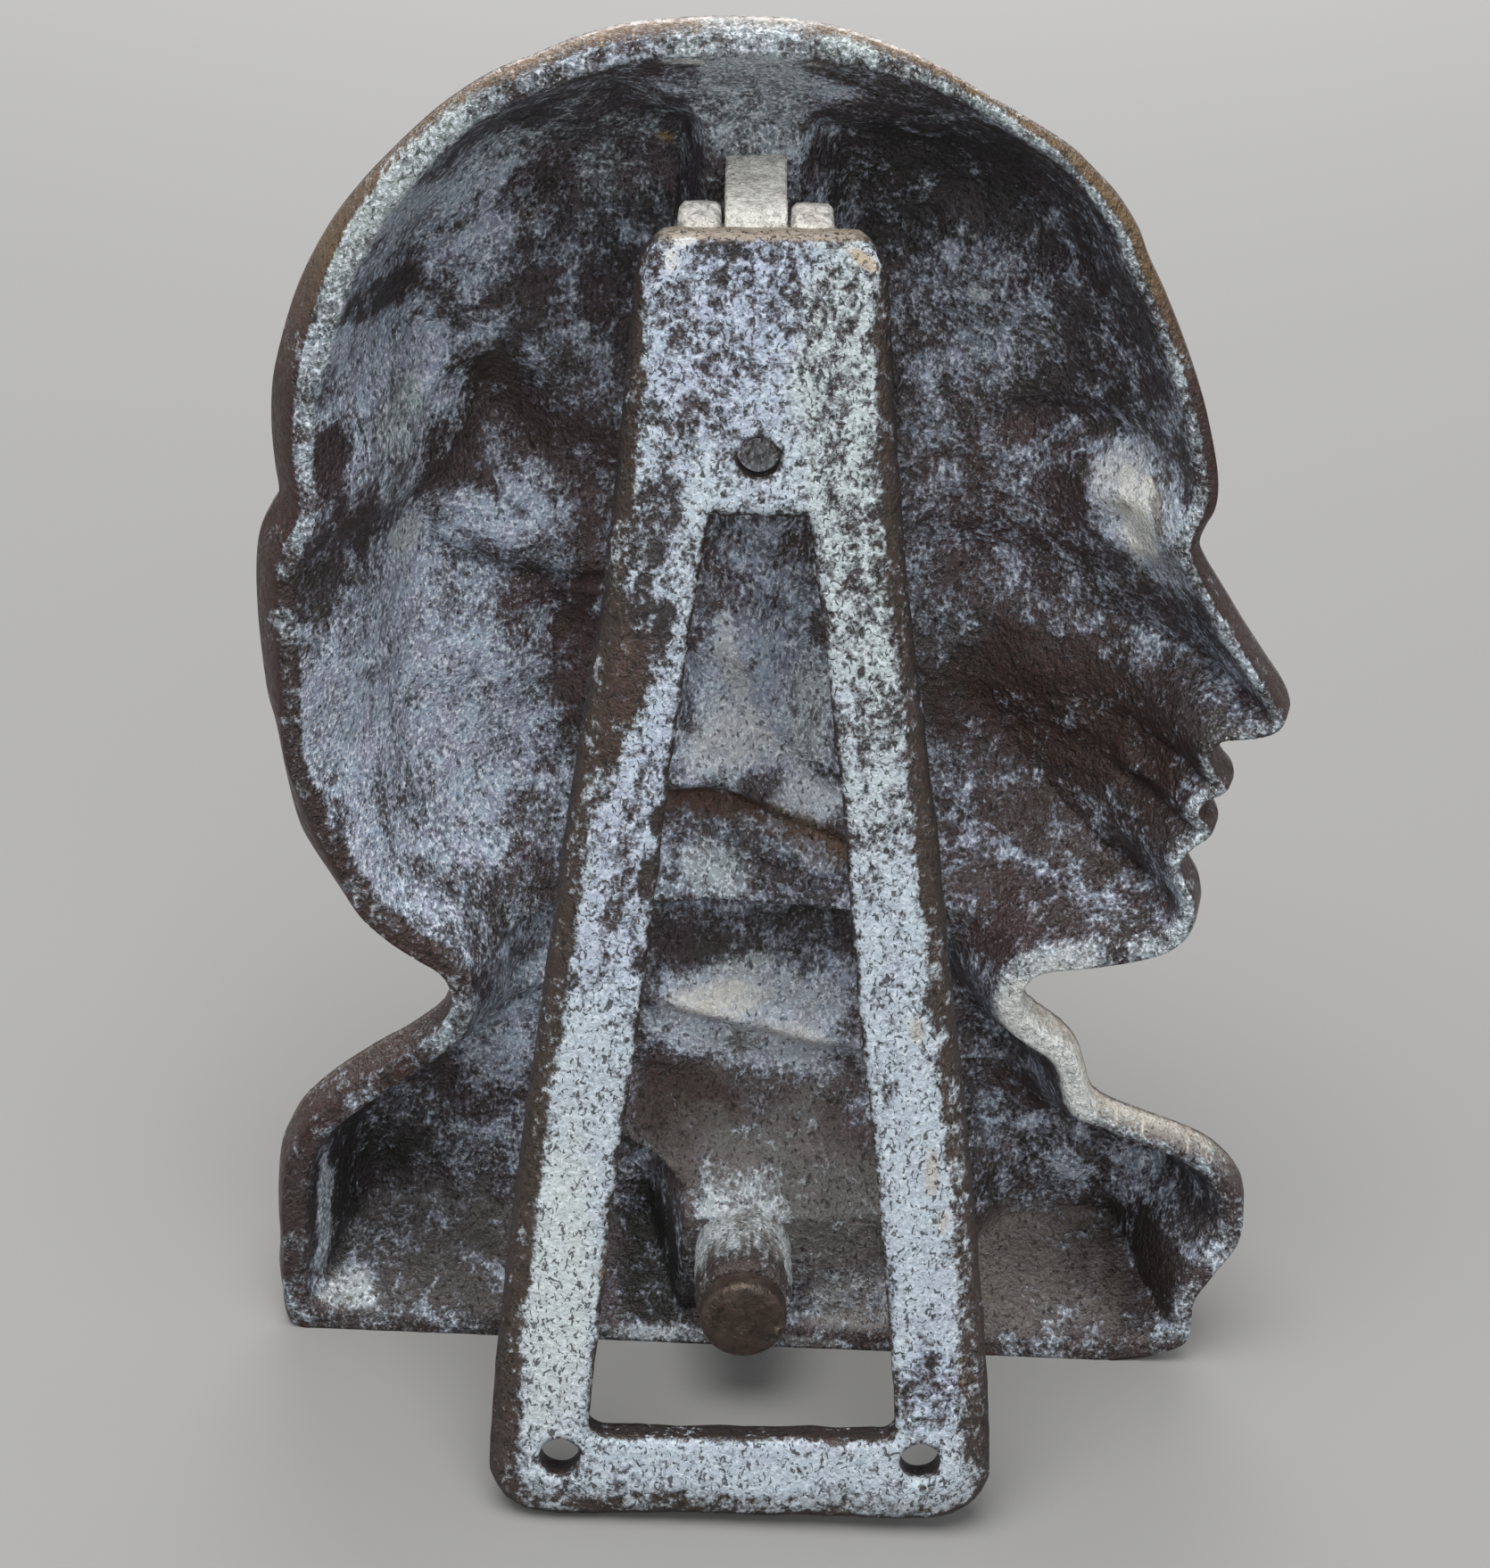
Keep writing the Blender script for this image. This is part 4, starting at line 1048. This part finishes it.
def paint_plate(V, tag):
    x, s, w = V.T
    out = lay(x, s, NAMES, dict(cover=.6, mint=.4, dark=.2), PLATE_STROKES, 261)
    n = fbm(x, s, 1.3, 3, 241)
    n2 = fbm(x, s, 7, 2, 243)
    face = step(8.0, 8.42, w + 0.16 * n)
    low = step(60, 120, s)
    right = step(0, 10, x - PX)
    outer = {"cover": 0.24 + 0.1 * n2 + 0.16 * low * right, "warm": 0.35 + 0.3 * n2, "dark": 0.58 - 0.25 * low * right, "mint": 0.5, "dust": 0.0, "tan": 0.04}
    outer["cover"] = outer["cover"] + 0.2 * step(125, 131, s)
    for k in NAMES:
        out[k] = out[k] * face + outer[k] * (1 - face) + 0 * x
    # flanks and the slot's walls are bare and dark, the slot's lip keeps a pale line
    flank = 1 - step(6.6, 7.6, w)
    for k, v in dict(cover=.12, warm=.25, dark=.65, mint=.3, dust=0, tan=0).items():
        out[k] = out[k] * (1 - flank) + v * flank
    top = step(-0.7, -1.5, s) * step(2, 5, w)
    for k, v in dict(cover=.12, warm=.6, dark=.1, mint=.2, dust=.3, tan=.25).items():
        out[k] = out[k] * (1 - top) + v * top
    t = tag == 1
    vals = dict(cover=.3, warm=.25, dark=.1, mint=.2, dust=.6)
    for k in NAMES:
        out[k] = np.where(t, vals.get(k, 0), out[k])
    return {k: np.clip(v, 0, 1) for k, v in out.items()}


STUD_PAINT = dict(cover=.1, warm=.55, dark=.55, mint=.0, dust=.10, tan=0)
PIN_PAINT = dict(cover=.2, warm=.6, dark=.2, mint=.0, dust=.35, tan=0)
TINTS = dict(tan=srgb(166, 138, 92), bare_a=srgb(92, 88, 88), bare_b=srgb(92, 78, 82), bare_c=srgb(66, 64, 68), bare_d=srgb(62, 61, 55), dark=srgb(38, 38, 35), warm=srgb(78, 52, 46), crust_a=srgb(166, 182, 200),
             crust_lo=srgb(118, 124, 136), crust_b=srgb(160, 164, 184), mint=srgb(160, 174, 166), crust_hi=srgb(230, 238, 246), dust=srgb(246, 245, 236), dirt=srgb(222, 215, 200), glint=srgb(252, 253, 255))
CAST_MAT = patina("bronze_cast", TINTS, granule=2.3, clump=0.9, soft=0.075, spread=(0.37, 0.62), spark=0.7, pits=0.7, veil=0.7, relief=0.0004, cracks=0.2, mottle=1.0, worm=0.4, patchy=0.9)
PLATE_MAT = patina("bronze_plate", dict(TINTS, warm=srgb(80, 60, 48), bare_a=srgb(70, 63, 68), bare_b=srgb(72, 60, 64), bare_c=srgb(48, 44, 43), bare_d=srgb(56, 52, 48), crust_a=srgb(168, 182, 200), crust_lo=srgb(138, 146, 162), crust_b=srgb(162, 170, 192),
                                        mint=srgb(176, 187, 181), crust_hi=srgb(216, 224, 230)), granule=2.2, clump=0.85, soft=0.06, spread=(0.36, 0.64), spark=0.25, pits=0.85, veil=0.3, relief=0.00022, cracks=0.0, mottle=0.6, worm=1.1, patchy=0.2, pit_at=(0.36, 0.43))
STUD_MAT = patina("bronze_turned", dict(TINTS, bare_a=srgb(104, 88, 72), bare_b=srgb(78, 62, 50), dust=srgb(150, 142, 128), crust_a=srgb(120, 104, 84), crust_b=srgb(104, 92, 78), crust_hi=srgb(170, 156, 130)), rough_bare=0.42, metal=0.5, pits=0.5, veil=0.5, spark=0.1, relief=0.0002, granule=1.6, clump=0.6)
PIN_MAT = patina("steel_pin", dict(TINTS, bare_a=srgb(120, 112, 102), bare_b=srgb(96, 84, 74)), rough_bare=0.4, metal=0.85, pits=0.2, veil=0.1, relief=0.00012)
FLOOR_RGB = (143, 142, 140)
LIGHTS = [("sky", (-0.12, -0.3, 1.1), (0, 0, 0.07), 0.9, 13.5), ("front", (0.25, -1.3, 0.75), (0, 0, 0.07), 0.8, 5.0), ("far", (0.0, 0.95, 0.35), (0, 0.5, 0), 0.7, 7.0)]
WORLD = (0.93, 0.955, 1.0, 0.5)


V, T, tag = casting()
attrs = paint_casting(V, tag)
cast_ob = make("casting_relief", V, T, attrs)
V, T, tag = plate()
attrs = paint_plate(V, tag)
plate_ob = make("plate_a_frame", on_plate(V), T, attrs)

stud_prof = [(0.01, 2.4), (2.3, 2.4), (2.3, -9.8), (4.3, -9.86), (4.58, -10.0), (4.65, -10.25), (4.66, -12.2), (4.5, -12.62), (4.2, -12.85), (3.7, -12.97),
             (2.8, -13.03), (1.4, -13.05), (0.75, -13.04), (0.6, -12.98), (0.01, -12.96)]
ring = []
for (r0, h0), (r1, h1) in zip(stud_prof[:-1], stud_prof[1:]):
    m = max(1, int(math.hypot(r1 - r0, h1 - h0) / 0.35))
    ring += [(r0 + (r1 - r0) * k / m, h0 + (h1 - h0) * k / m) for k in range(m)]
ring.append(stud_prof[-1])
V, T = lathe(ring, 96, lambda V: V + np.array([BX, 0, BZ]))
stud_ob = make("striker_head", V, T, {k: np.full(len(V), v) for k, v in STUD_PAINT.items()})

L = EAR_OUT + 0.5
pin_prof = [(0.01, -L), (0.7, -L), (1.05, -L + 0.08), (1.25, -L + 0.3), (1.3, -L + 0.6), (1.3, L - 0.6), (1.25, L - 0.3), (1.05, L - 0.08), (0.7, L), (0.01, L)]
V, T = lathe(pin_prof, 48, lambda V: square(V[:, [1, 0, 2]] + np.array([HX, HY, HZ])))
pin_ob = make("pin_round", V, T, {k: np.full(len(V), v) for k, v in PIN_PAINT.items()})

for ob, node, body, slot, mat in ((cast_ob, "relief_casting", "knocker", "casting", CAST_MAT), (stud_ob, "striker_stud", "knocker", "stud", STUD_MAT),
                                  (plate_ob, "back_plate", "plate", "plate", PLATE_MAT), (pin_ob, "hinge_pin", "plate", "pin", PIN_MAT)):
    ob.data.materials.append(mat)
    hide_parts(node)
    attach(ob, body)

# ---------------------------------------------------------------- floor, light, camera
bpy.ops.mesh.primitive_plane_add(size=1, location=(0, 0, 0))
floor = bpy.context.object
floor.name = "floor"
floor.scale = (8, 8, 1)
F = Mat("floor_plain")
F.b.inputs["Base Color"].default_value = (*srgb(*FLOOR_RGB), 1)
F.b.inputs["Roughness"].default_value = 0.9
F.b.inputs["Specular IOR Level"].default_value = 0.2
floor.data.materials.append(F.m)


def area(name, loc, look, size, power, color=(1, 1, 1)):
    d = bpy.data.lights.new(name, "AREA")
    d.shape = "DISK"
    d.size = size
    d.energy = power
    d.color = color
    o = bpy.data.objects.new(name, d)
    bpy.context.scene.collection.objects.link(o)
    o.location = loc
    o.rotation_euler = (Vector(look) - Vector(loc)).to_track_quat("-Z", "Y").to_euler()


for a in LIGHTS:
    area(*a)
world = bpy.data.worlds.new("plain")
world.use_nodes = True
world.node_tree.nodes["Background"].inputs["Color"].default_value = (*WORLD[:3], 1)
world.node_tree.nodes["Background"].inputs["Strength"].default_value = WORLD[3]
bpy.context.scene.world = world
bpy.context.scene.view_settings.view_transform = "Standard"

cam = bpy.data.cameras.new("camera")
cam.sensor_width = 36
cam.lens = 110.74
cam_ob = bpy.data.objects.new("camera", cam)
bpy.context.scene.collection.objects.link(cam_ob)
C = (np.array([-11.55644, -441.32251, 304.96706]) + SHIFT) / 1000
r, u, f = (0.99878463, 0.00006150, 0.04928746), (-0.04353221, 0.47004016, 0.88157087), (0.02311287, 0.88264503, -0.46947156)
m = Matrix(((r[0], u[0], -f[0], C[0]), (r[1], u[1], -f[1], C[1]), (r[2], u[2], -f[2], C[2]), (0, 0, 0, 1)))
cam_ob.matrix_world = m
bpy.context.scene.camera = cam_ob
